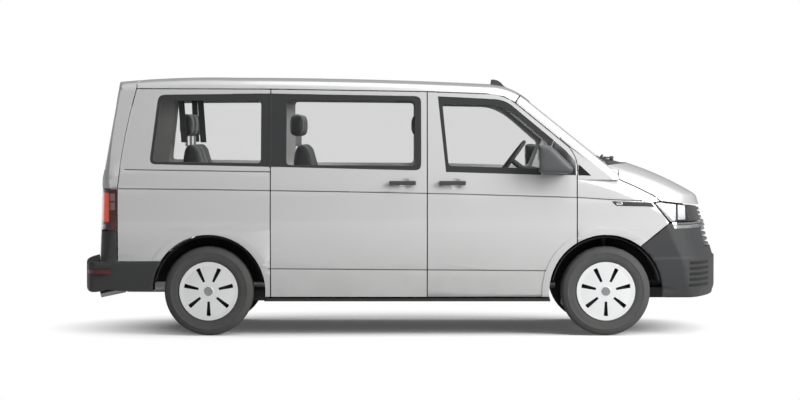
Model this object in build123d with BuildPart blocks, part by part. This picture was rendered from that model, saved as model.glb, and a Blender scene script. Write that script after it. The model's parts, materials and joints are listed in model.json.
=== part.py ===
"""Minivan with hinged front doors, bonnet and tailgate, steered front wheels and three seat rows.

Millimetres. +X is forward, +Y is left, +Z is up. The origin is on the ground below the middle of the body.
"""

import os
from math import cos, radians, sin, sqrt, tan

from build123d import *

os.makedirs("parts", exist_ok=True)

# Overall sizes
FRONT_X = 2452
REAR_X = -2452
HALF_WIDTH = 946
ROOF_Z = 1966
SILL_Z = 287
FLOOR_Z = 500
WALL = 60
ROOF_WALL = 42
BONNET_WALL = 26
PANEL_GAP = 8
GLASS = 5
FIT = 0.3

# Wheels and axles
WHEELBASE = 3000
FRONT_AXLE_X = 1544
REAR_AXLE_X = FRONT_AXLE_X - WHEELBASE
TYRE_RADIUS = 337.5
TYRE_WIDTH = 205
WHEEL_Y = 814
RIM_RADIUS = 206
COVER_RADIUS = 221
COVER_SLOTS = 7
ARCH_RADIUS = 424
LINER_RADIUS = 412
KINGPIN_Y = 721
KINGPIN_LEAN = 9.8

# Shut lines seen from the side
DOOR_FRONT_X = 1325
DOOR_REAR_X = 195
SLIDER_REAR_X = -989
TAIL_TOP_X = -2005
TAIL_LOW_X = -2141
GUTTER_Z = 1864
BUMPER_TOP_Z = 561
LAMP_LOW_Z = 802
LAMP_TOP_Z = 1110
COWL_X = 1771
CROSSMEMBER_X = 2232

# Creases, arch lips and handle dishes
WAIST_POINTS = (
    (-2136, 1112),
    (-1516, 1106),
    (-387, 1088),
    (366, 1073),
    (1043, 1054),
    (1325, 1046),
    (1581, 1030),
    (1890, 1017),
)
RAIL_POINTS = ((-2090, 1256), (-989, 1238))
SILL_POINTS = ((-1049, 508), (1103, 493))
CREASE_HEIGHT = 9
CREASE_DEPTH = 5
LIP_WIDTH = 56
LIP_PROUD = 6
DISH_XS = (27, 411)
DISH_Z = 1156
DISH_RADIUS = 75
DISH_Y = 988

# Door hinges
HINGE_X = DOOR_FRONT_X - 62
HINGE_Y = 930
HINGE_ZS = (770, 960)
PIN_RADIUS = 6
ARM_RADIUS = 8

# Bonnet and tailgate hinges
BONNET_AXIS = (1600, 1258)
BONNET_CORNER_X = 1640
BONNET_CORNER_Y = 780
TAIL_AXIS = (-2065, 1914)
TAIL_HINGE_Y = 450
NECK_DROP = 66

# Section, plan and crown arcs
WIDEST_Z = 850
SHOULDER_Z = 1262
SHOULDER_INSET = 33
SILL_INSET = 62
TUMBLEHOME = 0.158
CROWN_RADIUS = 8000
NOSE_RADIUS = 1900
NOSE_CORNER = 280
NOSE_LEAN = 15.6
TAIL_RADIUS = 4500
TAIL_CORNER = 120
TAIL_LEAN = 10.5
CUT_WIDTH = 1100


def body_prism(rear_x, front_x, inset=0.0):
    """Full-width body with the side section, drawn in by an inset."""
    widest = HALF_WIDTH - inset
    shoulder = widest - SHOULDER_INSET
    top_z = ROOF_Z + 150
    top_y = shoulder - (top_z - SHOULDER_Z) * TUMBLEHOME
    with BuildPart() as prism:
        with BuildSketch(Plane.YZ.offset(rear_x)):
            with BuildLine():
                Line((0, SILL_Z), (widest - SILL_INSET, SILL_Z))
                ThreePointArc((widest - SILL_INSET, SILL_Z), (widest, WIDEST_Z), (shoulder, SHOULDER_Z))
                Line((shoulder, SHOULDER_Z), (top_y, top_z))
                Line((top_y, top_z), (0, top_z))
                mirror(about=Plane.YZ)
            make_face()
        extrude(amount=front_x - rear_x)
    return prism.part


def above_roof(drop=0.0):
    """Everything above the roof and ahead of the windscreen, lowered by a drop."""
    top = ROOF_Z - drop
    with BuildLine(Plane.XZ) as path:
        rear = ThreePointArc((-2600, top - 84), (-1950, top - 13), (-1300, top))
        front = ThreePointArc(rear @ 1, (-310, top - 13), (680, top - 50))
        corner = TangentArc(front @ 1, (972 - drop * 0.7, top - 160 + drop * 0.1), tangent=front % 1)
        Line(corner @ 1, (corner @ 1) + (corner % 1) * 1000)
    wire = path.wires()[0]
    sagitta = CUT_WIDTH**2 / (2 * CROWN_RADIUS)
    with BuildPart() as cutter:
        with BuildSketch(Plane(origin=wire @ 0, x_dir=(0, 1, 0), z_dir=wire % 0)) as crown:
            with BuildLine():
                ThreePointArc((-CUT_WIDTH, -sagitta), (0, 0), (CUT_WIDTH, -sagitta))
                Polyline((CUT_WIDTH, -sagitta), (CUT_WIDTH, 500), (-CUT_WIDTH, 500), (-CUT_WIDTH, -sagitta))
            make_face()
        sweep(sections=crown.sketch, path=wire)
    return cutter.part


def tail_block(tail_x, low_z, high_z, lean=0.0, inset=0.0):
    """Block whose rear face is curved in plan with round corners and leans forward."""
    half = HALF_WIDTH + 6 - inset
    tip = tail_x + inset
    corner_x = tip + TAIL_RADIUS - sqrt(TAIL_RADIUS**2 - half**2)
    tilt = radians(lean)
    with BuildPart() as block:
        with BuildSketch(Plane.XY.offset(low_z)) as plan:
            with BuildLine():
                ThreePointArc((corner_x, half), (tip, 0), (corner_x, -half))
                Polyline((corner_x, -half), (2000, -half), (2000, half), (corner_x, half))
            make_face()
            fillet(plan.vertices().group_by(Axis.X)[0], TAIL_CORNER - inset * 0.5)
        extrude(amount=(high_z - low_z) / cos(tilt), dir=(sin(tilt), 0, cos(tilt)))
    return block.part


def nose_block(front_x, low_z, high_z, lean=0.0, inset=0.0):
    """Block whose front face is curved in plan with round corners and leans back."""
    half = HALF_WIDTH + 6 - inset
    tip = front_x - inset
    corner_x = tip - NOSE_RADIUS + sqrt(NOSE_RADIUS**2 - half**2)
    tilt = radians(lean)
    with BuildPart() as block:
        with BuildSketch(Plane.XY.offset(low_z)) as plan:
            with BuildLine():
                ThreePointArc((corner_x, -half), (tip, 0), (corner_x, half))
                Polyline((corner_x, half), (900, half), (900, -half), (corner_x, -half))
            make_face()
            fillet(plan.vertices().group_by(Axis.X)[-1], NOSE_CORNER - inset)
        extrude(amount=(high_z - low_z) / cos(tilt), dir=(-sin(tilt), 0, cos(tilt)))
    return block.part


def above_bonnet(drop=0.0):
    """Everything above the bonnet and its round shoulders, lowered by a drop."""
    with BuildLine(Plane.XZ) as path:
        ThreePointArc((1200, 1414 - drop), (1900, 1255 - drop), (2560, 876 - drop))
    wire = path.wires()[0]
    with BuildPart() as cutter:
        with BuildSketch(Plane(origin=wire @ 0, x_dir=(0, 1, 0), z_dir=wire % 0)) as crown:
            with BuildLine():
                top = ThreePointArc((-720, -65), (0, 0), (720, -65))
                shoulder = TangentArc((720, -65), (HALF_WIDTH + 4 - drop, -341), tangent=top % 1)
                Polyline(shoulder @ 1, (1300, -341), (1300, 500), (0, 500))
                mirror(about=Plane.YZ)
            make_face()
        sweep(sections=crown.sketch, path=wire)
    return cutter.part


def cabin(inset=0.0, drop=0.0):
    """Closed cabin from the tailgate to the windscreen, drawn in and lowered."""
    with BuildPart() as block:
        add(body_prism(REAR_X, 1700, inset))
        add(above_roof(drop), mode=Mode.SUBTRACT)
        add(tail_block(-2366, 200, 2300, 2.2, inset), mode=Mode.INTERSECT)
        add(tail_block(-2510, 200, 2300, TAIL_LEAN, inset), mode=Mode.INTERSECT)
        if not inset:
            edge = [e for e in block.edges() if min((e @ 0).Z, (e @ 1).Z, (e @ 0.5).Z) > SHOULDER_Z + 10]
            rail = [e for e in edge if all(abs((e % t).X) > 0.6 and abs((e @ t).Y) > 700 for t in (0.1, 0.5, 0.9))]
            fillet(rail, 70)
    return block.part


def nose(inset=0.0):
    """Closed front end ahead of the doors, drawn in by an inset."""
    with BuildPart() as block:
        add(body_prism(1200, 2600, inset))
        add(nose_block(2548, 200, 1500, NOSE_LEAN, inset), mode=Mode.INTERSECT)
        add(nose_block(FRONT_X - 14, 200, 1500, 0, inset), mode=Mode.INTERSECT)
        add(above_bonnet(inset), mode=Mode.SUBTRACT)
        rim = [e for e in block.edges() if all((e @ t).Z > 880 and abs((e % t).Y) > 0.5 for t in (0.05, 0.5, 0.95))]
        fillet([e for e in rim if e.center().X > 1950], 70 - inset * 0.5)
    return block.part


def shell(outer, inner):
    """Outer body less the inner one."""
    with BuildPart() as wall:
        add(outer)
        add(inner, mode=Mode.SUBTRACT)
    return wall.part


def side_prism(outline, shrink=PANEL_GAP / 2, inner_y=300):
    """Prism of a closed side-view outline on the right, drawn in by half a panel gap."""
    with BuildPart() as prism:
        with BuildSketch(Plane.XZ.offset(inner_y)):
            with BuildLine():
                outline()
            make_face()
            if shrink:
                offset(amount=-shrink, kind=Kind.TANGENT)
        extrude(amount=HALF_WIDTH + 60 - inner_y)
    return prism.part


def front_prism(outline, rear_x, front_x, shrink=0.0):
    """Prism of a closed front-view outline."""
    with BuildPart() as prism:
        with BuildSketch(Plane.YZ.offset(rear_x)):
            with BuildLine():
                outline()
            make_face()
            if shrink:
                offset(amount=-shrink, kind=Kind.TANGENT)
        extrude(amount=front_x - rear_x)
    return prism.part


def box(x_range, y_range, z_range, corner=0.0):
    """Plain block between limits, with rounded edges where asked."""
    with BuildPart() as block:
        middle = [(low + high) / 2 for low, high in (x_range, y_range, z_range)]
        size = [high - low for low, high in (x_range, y_range, z_range)]
        with Locations(tuple(middle)):
            Box(*size)
        if corner:
            fillet(block.edges(), corner)
    return block.part


def rod(start, end, radius):
    """Round bar between two points."""
    with BuildPart() as bar:
        with BuildLine() as axis:
            line = Line(start, end)
        with BuildSketch(Plane(origin=line @ 0, z_dir=line % 0)):
            Circle(radius)
        extrude(amount=line.length)
    return bar.part


def common(first, *others):
    """Shape shared by all the given solids."""
    with BuildPart() as shared:
        add(first)
        for other in others:
            add(other, mode=Mode.INTERSECT)
    return shared.part


def less(first, *others):
    """First solid with the others cut away."""
    with BuildPart() as rest:
        add(first)
        for other in others:
            add(other, mode=Mode.SUBTRACT)
    return rest.part


def joined(*solids):
    """Solids fused into one part."""
    with BuildPart() as whole:
        for solid in solids:
            add(solid)
    return whole.part


def left(solid):
    """Mirror image on the left side."""
    with BuildPart() as twin:
        add(mirror(solid, about=Plane.XZ, mode=Mode.PRIVATE))
    return twin.part


def save(name, *solids):
    """Write one node, made of the given solids."""
    with BuildPart() as node:
        for solid in solids:
            add(solid)
    node.part.label = name
    export_step(node.part, f"parts/{name}.step")


# Outlines seen from the side
ARCH_FRONT = sqrt(ARCH_RADIUS**2 - (TYRE_RADIUS - 290) ** 2)
ARCH_DOOR_Z = TYRE_RADIUS + sqrt(ARCH_RADIUS**2 - (FRONT_AXLE_X - DOOR_FRONT_X) ** 2)
ARCH_TAIL = sqrt(ARCH_RADIUS**2 - (BUMPER_TOP_Z - TYRE_RADIUS) ** 2)


def front_door_outline():
    """Front door with the wheel arch at its lower corner."""
    arch_mid = (FRONT_AXLE_X - ARCH_RADIUS * cos(radians(26)), TYRE_RADIUS + ARCH_RADIUS * sin(radians(26)))
    foot = (FRONT_AXLE_X - ARCH_FRONT, 290)
    knee = (DOOR_FRONT_X, ARCH_DOOR_Z)
    Line((DOOR_REAR_X, 290), foot)
    ThreePointArc(foot, arch_mid, knee)
    Line(knee, (DOOR_FRONT_X, 1200))
    ThreePointArc((DOOR_FRONT_X, 1200), (1311, 1350), (1262, 1430))
    Line((1262, 1430), (870, 1752))
    ThreePointArc((870, 1752), (760, 1811), (640, 1829))
    Polyline((640, 1829), (DOOR_REAR_X, 1845), (DOOR_REAR_X, 290))


def slider_outline():
    """Sliding door."""
    Polyline(
        (SLIDER_REAR_X, 290),
        (DOOR_REAR_X, 290),
        (DOOR_REAR_X, 1845),
        (SLIDER_REAR_X, GUTTER_Z),
        close=True,
    )


def quarter_edge(front_x):
    """Rear side panel from a front edge back to the tailgate, lamp and bumper."""
    arch_foot = (REAR_AXLE_X + ARCH_FRONT, 290)
    arch_end = (REAR_AXLE_X - ARCH_TAIL, BUMPER_TOP_Z)
    top_z = GUTTER_Z + (front_x - SLIDER_REAR_X) * (1845 - GUTTER_Z) / (DOOR_REAR_X - SLIDER_REAR_X)
    Polyline((front_x, top_z), (front_x, 290), arch_foot)
    ThreePointArc(arch_foot, (REAR_AXLE_X, TYRE_RADIUS + ARCH_RADIUS), arch_end)
    Polyline(arch_end, (TAIL_LOW_X, BUMPER_TOP_Z), (TAIL_LOW_X, LAMP_TOP_Z))
    ThreePointArc((TAIL_LOW_X, LAMP_TOP_Z), (-2088, 1500), (TAIL_TOP_X, GUTTER_Z + 4))
    Line((TAIL_TOP_X, GUTTER_Z + 4), (front_x, top_z))


def roof_outline():
    """Roof above the gutter line, back to the tailgate and forward to the windscreen."""
    Polyline((TAIL_TOP_X, 2150), (TAIL_TOP_X, GUTTER_Z + 4), (SLIDER_REAR_X, GUTTER_Z), (DOOR_REAR_X, 1845))
    Polyline((DOOR_REAR_X, 1845), (640, 1829), (780, 1805), (860, 1760), (1130, 2150), (TAIL_TOP_X, 2150))


def pillar_outline():
    """Windscreen pillar from the roof down to the wing, ahead of the door."""
    Polyline((868, 1760), (868, 1500), (DOOR_FRONT_X + 4, 1180), (1640, 1180), (1640, 1420), (1138, 2150), close=True)


def bonnet_edge_points():
    """Shut line between the bonnet and the wing, then the leading edge above the lamp."""
    return ((1486, 1290), (1554, 1235), (1628, 1189), (1773, 1125), (1902, 1061), (1956, 1016), (2480, 955))


def bonnet_outline():
    """Bonnet above its shut line."""
    Polyline((1440, 1500), (1440, 1290), *bonnet_edge_points(), (2480, 1500), (1440, 1500))


def lamp_outline():
    """Headlamp wrapping round the front corner."""
    Polyline((1901, 1007), (1956, 1016), (2480, 955), (2480, 857), (2024, 857), close=True)


def wing_outline():
    """Front wing from the door to the headlamp and bumper, over the wheel arch."""
    knee = (DOOR_FRONT_X, ARCH_DOOR_Z)
    bumper_end = (FRONT_AXLE_X + sqrt(ARCH_RADIUS**2 - (674 - TYRE_RADIUS) ** 2), 674)
    Polyline(knee, (DOOR_FRONT_X, 1235), (1420, 1290), *bonnet_edge_points()[:-1])
    Polyline((1956, 1016), (1901, 1007), (2024, 855), bumper_end)
    ThreePointArc(bumper_end, (FRONT_AXLE_X, TYRE_RADIUS + ARCH_RADIUS), knee)


def bumper_outline():
    """Front bumper ahead of the wing and wheel arch."""
    bumper_end = (FRONT_AXLE_X + sqrt(ARCH_RADIUS**2 - (674 - TYRE_RADIUS) ** 2), 674)
    foot = (FRONT_AXLE_X + ARCH_FRONT, 290)
    arch_mid = (FRONT_AXLE_X + ARCH_RADIUS * cos(radians(22)), TYRE_RADIUS + ARCH_RADIUS * sin(radians(22)))
    Polyline((2500, 855), (2024, 855), bumper_end)
    ThreePointArc(bumper_end, arch_mid, foot)
    Polyline(foot, (2120, 277), (2230, 262), (2500, 262), (2500, 855))


def crease(points):
    """Groove along a line on the right side."""

    def band():
        """Thin band round the line."""
        upper = [(x, z + CREASE_HEIGHT / 2) for x, z in points]
        lower = [(x, z - CREASE_HEIGHT / 2) for x, z in reversed(points)]
        Polyline(*upper, *lower, close=True)

    return common(
        shell(body_prism(REAR_X, 2200, -2), body_prism(REAR_X, 2200, CREASE_DEPTH)), side_prism(band, 0)
    )


def arch_lip(axle_x):
    """Proud band round a wheel arch on the right side."""
    ends = ((axle_x, -1000, TYRE_RADIUS), (axle_x, -700, TYRE_RADIUS))
    ring = less(rod(*ends, ARCH_RADIUS + LIP_WIDTH), rod(*ends, ARCH_RADIUS))
    return common(shell(body_prism(REAR_X, 2200, -LIP_PROUD), body_prism(REAR_X, 2200, 3)), ring)


def dish(x):
    """Hollow behind a door handle."""
    with BuildPart() as hollow:
        with Locations((x, -DISH_Y, DISH_Z)):
            Sphere(DISH_RADIUS)
    return hollow.part


def slider_window():
    """Sliding door pane."""
    Polyline((-982, 1276), (150, 1248), (150, 1812), (-982, 1832), close=True)


def quarter_window():
    """Rear quarter pane."""
    Polyline((-1906, 1296), (-996, 1276), (-996, 1832), (-1842, 1824), close=True)


def door_window():
    """Front door pane."""
    Polyline((275, 1810), (336, 1238), (1051, 1216), (1150, 1478), (851, 1728))
    ThreePointArc((851, 1728), (790, 1768), (716, 1788))
    Line((716, 1788), (275, 1810))


def screen_outline():
    """Windscreen seen from the front."""
    Polyline((-790, 1318), (790, 1318), (700, 1830), (-700, 1830), close=True)


def rear_screen_outline():
    """Tailgate pane seen from behind."""
    Polyline((-730, 1210), (730, 1210), (660, 1790), (-660, 1790), close=True)


# Shared body shells
outer_cabin = cabin()
cabin_shell = shell(outer_cabin, cabin(WALL, ROOF_WALL))
glass_shell = shell(cabin(1, 1), cabin(1 + GLASS, 1 + GLASS))
outer_nose = nose()
bonnet_shell = shell(outer_nose, nose(BONNET_WALL))
lamp_shell = shell(outer_nose, nose(60))
bumper_shell = shell(outer_nose, nose(40))
right_half = box((-2600, 2600), (-1100, 0), (0, 2200))

# Roof
roof_half = side_prism(roof_outline, PANEL_GAP / 2, 0)
roof_region = joined(roof_half, left(roof_half))
screen_prism = front_prism(screen_outline, 700, 1800)
roof_skin = less(common(cabin_shell, roof_region), screen_prism)


def gooseneck(side_y):
    """Tailgate hinge arm that hangs below the roof and comes up to the pin."""
    x, z = TAIL_AXIS
    y_range = (side_y - 10, side_y + 10)
    return less(
        joined(
            rod((x, side_y - 10, z), (x, side_y + 10, z), ARM_RADIUS + 2),
            box((x - 9, x + 9), y_range, (z - NECK_DROP - 14, z)),
            box((x - 9, x + 130), y_range, (z - NECK_DROP - 14, z - NECK_DROP)),
            box((x + 100, x + 130), y_range, (z - NECK_DROP - 14, z + 10)),
        ),
        rod((x, side_y - 20, z), (x, side_y + 20, z), PIN_RADIUS + FIT),
    )


roof = joined(roof_skin, gooseneck(TAIL_HINGE_Y), gooseneck(-TAIL_HINGE_Y))
save("roof", roof)

# Windscreen and its pillars
screen_fit = front_prism(screen_outline, 700, 1800, FIT)
windscreen = common(glass_shell, screen_fit)
save("windscreen", windscreen)
pillar_region = side_prism(pillar_outline, 0, 560)
door_opening = side_prism(front_door_outline, -PANEL_GAP / 2)
pillar = less(common(cabin_shell, pillar_region), screen_prism, door_opening, outer_nose)

# Side panels, windows and the sliding door
side_wall = common(shell(body_prism(REAR_X, 1400), body_prism(REAR_X, 1400, WALL)), right_half)


def window_cut(outline):
    """Opening for a pane."""
    return side_prism(outline, 0)


def pane(outline):
    """Flush pane inside its opening."""
    return common(glass_wall, side_prism(outline, FIT))


creases = [crease(points) for points in (WAIST_POINTS, RAIL_POINTS, SILL_POINTS)]
dishes = [dish(x) for x in DISH_XS]
front_lip = arch_lip(FRONT_AXLE_X)
rear_lip = arch_lip(REAR_AXLE_X)


def lipped(panel, lip, outline):
    """Panel with its share of an arch lip."""
    return joined(panel, common(lip, side_prism(outline)))


glass_wall = common(shell(body_prism(REAR_X, 1400, 1), body_prism(REAR_X, 1400, 1 + GLASS)), right_half)

sliding_door = less(
    common(side_wall, side_prism(slider_outline)), window_cut(slider_window), creases[0], creases[2], dishes[0]
)
save("sliding_door", sliding_door)
slider_pane = pane(slider_window)
save("sliding_door_glass", slider_pane)


def quarter_outline():
    """Right rear panel."""
    quarter_edge(SLIDER_REAR_X)


def long_outline():
    """Left side panel behind the front door."""
    quarter_edge(DOOR_REAR_X)


quarter = less(common(side_wall, side_prism(quarter_outline)), window_cut(quarter_window), *creases)
save("quarter_panel_right", lipped(quarter, rear_lip, quarter_outline))
long_wall = less(
    common(side_wall, side_prism(long_outline)), window_cut(quarter_window), window_cut(slider_window), *creases
)
long_side = lipped(long_wall, rear_lip, long_outline)
save("side_panel_left", left(long_side))
quarter_pane = pane(quarter_window)
save("side_glass", quarter_pane, left(quarter_pane), left(slider_pane))

# Front doors with hinge eyes, and the posts that carry them
hinge_notches = []
hinge_eyes = []
hinge_pins = []
for z in HINGE_ZS:
    hinge_notches.append(box((HINGE_X - 22, DOOR_FRONT_X), (-HINGE_Y - 9, -700), (z - 34, z + 34)))
    eye = less(
        joined(
            rod((HINGE_X, -HINGE_Y, z - 14), (HINGE_X, -HINGE_Y, z + 14), 12),
            box((HINGE_X - 30, HINGE_X), (-HINGE_Y - 5, -HINGE_Y + 12), (z - 14, z + 14)),
        ),
        rod((HINGE_X, -HINGE_Y, z - 20), (HINGE_X, -HINGE_Y, z + 20), PIN_RADIUS + FIT),
    )
    hinge_eyes.append(eye)
    hinge_pins.append(rod((HINGE_X, -HINGE_Y, z - 28), (HINGE_X, -HINGE_Y, z + 28), PIN_RADIUS))
    for low in (z - 28, z + 16):
        hinge_pins.append(rod((HINGE_X, -HINGE_Y, low), (HINGE_X, -HINGE_Y, low + 12), ARM_RADIUS))
        hinge_pins.append(box((HINGE_X - ARM_RADIUS, HINGE_X + ARM_RADIUS), (-HINGE_Y, -800), (low, low + 12)))

door_wall = less(
    common(side_wall, side_prism(front_door_outline)),
    window_cut(door_window),
    *hinge_notches,
    *creases,
    dishes[1],
)
front_door = joined(lipped(door_wall, front_lip, front_door_outline), *hinge_eyes)
save("front_door_right", front_door)
save("front_door_left", left(front_door))
door_pane = pane(door_window)
save("front_door_glass_right", door_pane)
save("front_door_glass_left", left(door_pane))

post_wall = shell(body_prism(REAR_X, 1400, WALL + FIT), body_prism(REAR_X, 1400, WALL + 50))
below_roof = cabin(WALL + FIT, ROOF_WALL + FIT)
rear_post = common(post_wall, right_half, below_roof, box((140, 250), (-1000, 0), (FLOOR_Z, 2000)))
hinge_post = less(
    common(
        shell(body_prism(REAR_X, 1400, WALL + 62), body_prism(REAR_X, 1400, WALL + 120)),
        right_half,
        below_roof,
        box((1200, 1290), (-1000, 0), (FLOOR_Z + 200, 1230)),
    ),
)
front_post = joined(hinge_post, *hinge_pins)
slide_post = common(post_wall, right_half, below_roof, box((-1040, -940), (-1000, 0), (FLOOR_Z, 2000)))
save("door_posts", rear_post, left(rear_post), front_post, left(front_post), slide_post)

# Mirrors and handles
with BuildPart() as mirror_shell:
    with BuildSketch(Plane.XZ.offset(985)) as pod:
        with BuildLine():
            Polyline((1018, 1230), (1016, 1446), (1120, 1440), (1292, 1268), (1286, 1230), close=True)
        make_face()
        fillet(pod.vertices(), 18)
    extrude(amount=161)
    fillet(mirror_shell.faces().sort_by(Axis.Y)[0].edges(), 16)
mirror_housing = less(
    joined(mirror_shell.part, box((1040, 1280), (-1010, -890), (1222, 1268), 16)),
    box((900, 1034), (-1124, -1004), (1258, 1412), 14),
    body_prism(900, 1300),
)
save("mirror_right", mirror_housing)
save("mirror_left", left(mirror_housing))

# Bonnet, wings, lamps, bumper and grille
with BuildPart() as ahead_of_cowl:
    with BuildSketch(Plane.XY.offset(900)):
        with BuildLine():
            rear_edge = ThreePointArc((1488, -850), (COWL_X, 0), (1488, 850))
            Polyline((1488, 850), (1488, 1000), (2600, 1000), (2600, -1000), (1488, -1000), (1488, -850))
        make_face()
    extrude(amount=600)
bonnet_side = side_prism(bonnet_outline, PANEL_GAP / 2, 0)
bonnet_panel = common(bonnet_shell, joined(bonnet_side, left(bonnet_side)), ahead_of_cowl.part)
corner_block = box((1400, BONNET_CORNER_X), (-1000, -BONNET_CORNER_Y), (1000, 1500))
corner_gap = box(
    (1400, BONNET_CORNER_X + PANEL_GAP), (-1000, -BONNET_CORNER_Y + PANEL_GAP), (1000, 1500)
)
axis_x, axis_z = BONNET_AXIS
bonnet_pin = rod((axis_x, -BONNET_CORNER_Y - 20, axis_z), (axis_x, 38 - BONNET_CORNER_Y, axis_z), PIN_RADIUS)
bonnet_bore = rod(
    (axis_x, -BONNET_CORNER_Y, axis_z), (axis_x, 40 - BONNET_CORNER_Y, axis_z), PIN_RADIUS + FIT
)
bonnet = less(bonnet_panel, corner_gap, left(corner_gap), bonnet_bore, left(bonnet_bore))
save("bonnet", bonnet)
pillar_foot = joined(pillar, common(bonnet_panel, corner_block), bonnet_pin)
save("a_pillars", pillar_foot, left(pillar_foot))

arch_void = rod((FRONT_AXLE_X, -1000, TYRE_RADIUS), (FRONT_AXLE_X, -480, TYRE_RADIUS), ARCH_RADIUS)
rear_void = rod((REAR_AXLE_X, -1000, TYRE_RADIUS), (REAR_AXLE_X, -680, TYRE_RADIUS), ARCH_RADIUS)
wing_shell = shell(outer_nose, nose(12))
wing_panel = less(common(wing_shell, side_prism(wing_outline, PANEL_GAP / 2, 560)), creases[0])
wing = lipped(wing_panel, front_lip, wing_outline)
save("wings", wing, left(wing))

lamp_foot = box((2160, 2185), (-790, -765), (853 + FIT, 880))
headlamp = joined(common(lamp_shell, side_prism(lamp_outline, PANEL_GAP / 2, 480)), lamp_foot)
save("headlamps", headlamp, left(headlamp))

bumper_half = side_prism(bumper_outline, 2, 0)
bumper_region = joined(bumper_half, left(bumper_half))
bulge = shell(nose_block(FRONT_X, 335, 585), nose_block(FRONT_X, 335, 585, 0, 45))
lip = shell(nose_block(2424, 262, 335), nose_block(2424, 262, 335, 0, 60))
front_bumper = less(
    common(joined(bumper_shell, bulge, lip), bumper_region, body_prism(1200, 2600, -6)),
    box((2100, 2600), (-560, 560), (660, 870)),
)
bumper_bracket = box((CROSSMEMBER_X + FIT, 2400), (-340, -300), (440, 500))
save("front_bumper", joined(front_bumper, bumper_bracket, left(bumper_bracket)))

slat_band = shell(nose_block(2548, 200, 1500, NOSE_LEAN, 6), nose_block(2548, 200, 1500, NOSE_LEAN, 36))
slats = []
for z in (672, 712, 752, 792, 830):
    slats.append(common(slat_band, box((2100, 2600), (-558, 558), (z - 7, z + 7))))
for z in (880, 912, 944):
    slats.append(common(slat_band, box((2100, 2600), (-474, 474), (z - 7, z + 7))))
backing = common(
    shell(nose_block(2548, 200, 1500, NOSE_LEAN, 36), nose_block(2548, 200, 1500, NOSE_LEAN, 50)),
    joined(box((2100, 2600), (-558, 558), (662, 850)), box((2100, 2600), (-474, 474), (840, 954))),
)
grille_bracket = box((CROSSMEMBER_X + FIT, 2326), (-220, -180), (780, 820))
save("grille", joined(backing, grille_bracket, left(grille_bracket), *slats))

# Tailgate, tail lamps and rear bumper
def tail_edge():
    """Tailgate behind its shut line."""
    Polyline((TAIL_TOP_X, 2150), (TAIL_TOP_X, GUTTER_Z + 4))
    ThreePointArc((TAIL_TOP_X, GUTTER_Z + 4), (-2088, 1500), (TAIL_LOW_X, LAMP_TOP_Z))
    Polyline((TAIL_LOW_X, LAMP_TOP_Z), (-2600, LAMP_TOP_Z), (-2600, 2150), (TAIL_TOP_X, 2150))


tail_half = side_prism(tail_edge, PANEL_GAP / 2, 0)
tail_low = box((-2600, TAIL_LOW_X), (-736, 736), (BUMPER_TOP_Z + 4, LAMP_TOP_Z + 8))
rear_screen = front_prism(rear_screen_outline, -2500, -2100)
tail_panel = less(common(cabin_shell, joined(tail_half, left(tail_half), tail_low)), rear_screen)
axis_x, axis_z = TAIL_AXIS
tail_notches = []
tail_pins = []
for y in (-TAIL_HINGE_Y, TAIL_HINGE_Y):
    tail_notches.append(box((axis_x - 16, TAIL_TOP_X + 4), (y - 14, y + 14), (axis_z - 60, axis_z + 12)))
    tail_pins.append(rod((axis_x, y - 20, axis_z), (axis_x, y + 20, axis_z), PIN_RADIUS))
swing_room = box((TAIL_TOP_X - 8, TAIL_TOP_X + 10), (-740, 740), (GUTTER_Z, ROOF_Z))
tailgate = joined(less(tail_panel, swing_room, *tail_notches), *tail_pins)
save("tailgate", tailgate)
rear_pane = common(glass_shell, front_prism(rear_screen_outline, -2500, -2100, FIT))
save("tailgate_glass", rear_pane)

lamp_corner = box((-2600, TAIL_LOW_X - 4), (-1000, -744), (LAMP_LOW_Z, LAMP_TOP_Z - 4))
lamp_tab = box((-2262, -2230), (-790, -765), (LAMP_LOW_Z - 6 + FIT, LAMP_LOW_Z + 10))
tail_lamp = joined(common(cabin_shell, lamp_corner), lamp_tab)
save("tail_lamps", tail_lamp, left(tail_lamp))

bumper_band = shell(tail_block(REAR_X, 327, BUMPER_TOP_Z), tail_block(REAR_X, 327, BUMPER_TOP_Z, 0, 60))
corner_trim = common(
    cabin_shell, box((-2600, TAIL_LOW_X - 4), (-1000, -744), (BUMPER_TOP_Z - 4, LAMP_LOW_Z - 6))
)
rear_bumper = less(
    joined(
        common(bumper_band, body_prism(-2600, 1400, -6), box((-2600, -1790), (-1000, 1000), (0, 2000))),
        corner_trim,
        left(corner_trim),
        box((-2400, -2270 - FIT), (-440, -400), (400, 460)),
        box((-2400, -2270 - FIT), (400, 440), (400, 460)),
    ),
    rear_void,
    left(rear_void),
)
save("rear_bumper", rear_bumper)

# Floor with sills and firewall
floor_slab = less(
    joined(
        box((-2270, 1430), (-815, 815), (FLOOR_Z - 40, FLOOR_Z)),
        box((1400, 1430), (-800, 800), (FLOOR_Z - 20, 1250)),
        box((-1050, 1140), (-872, -740), (258, 282)),
        box((-1050, 1140), (-815, -740), (270, FLOOR_Z - 20)),
        box((-1050, 1140), (740, 872), (258, 282)),
        box((-1050, 1140), (740, 815), (270, FLOOR_Z - 20)),
        box((-2270, -2240), (-700, 700), (340, FLOOR_Z - 20)),
        common(box((-2400, -2200), (-690, 690), (FLOOR_Z - 30, FLOOR_Z + 140)), below_roof),
    ),
    arch_void,
    left(arch_void),
    rear_void,
    left(rear_void),
)
save("floor_pan", floor_slab)

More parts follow.
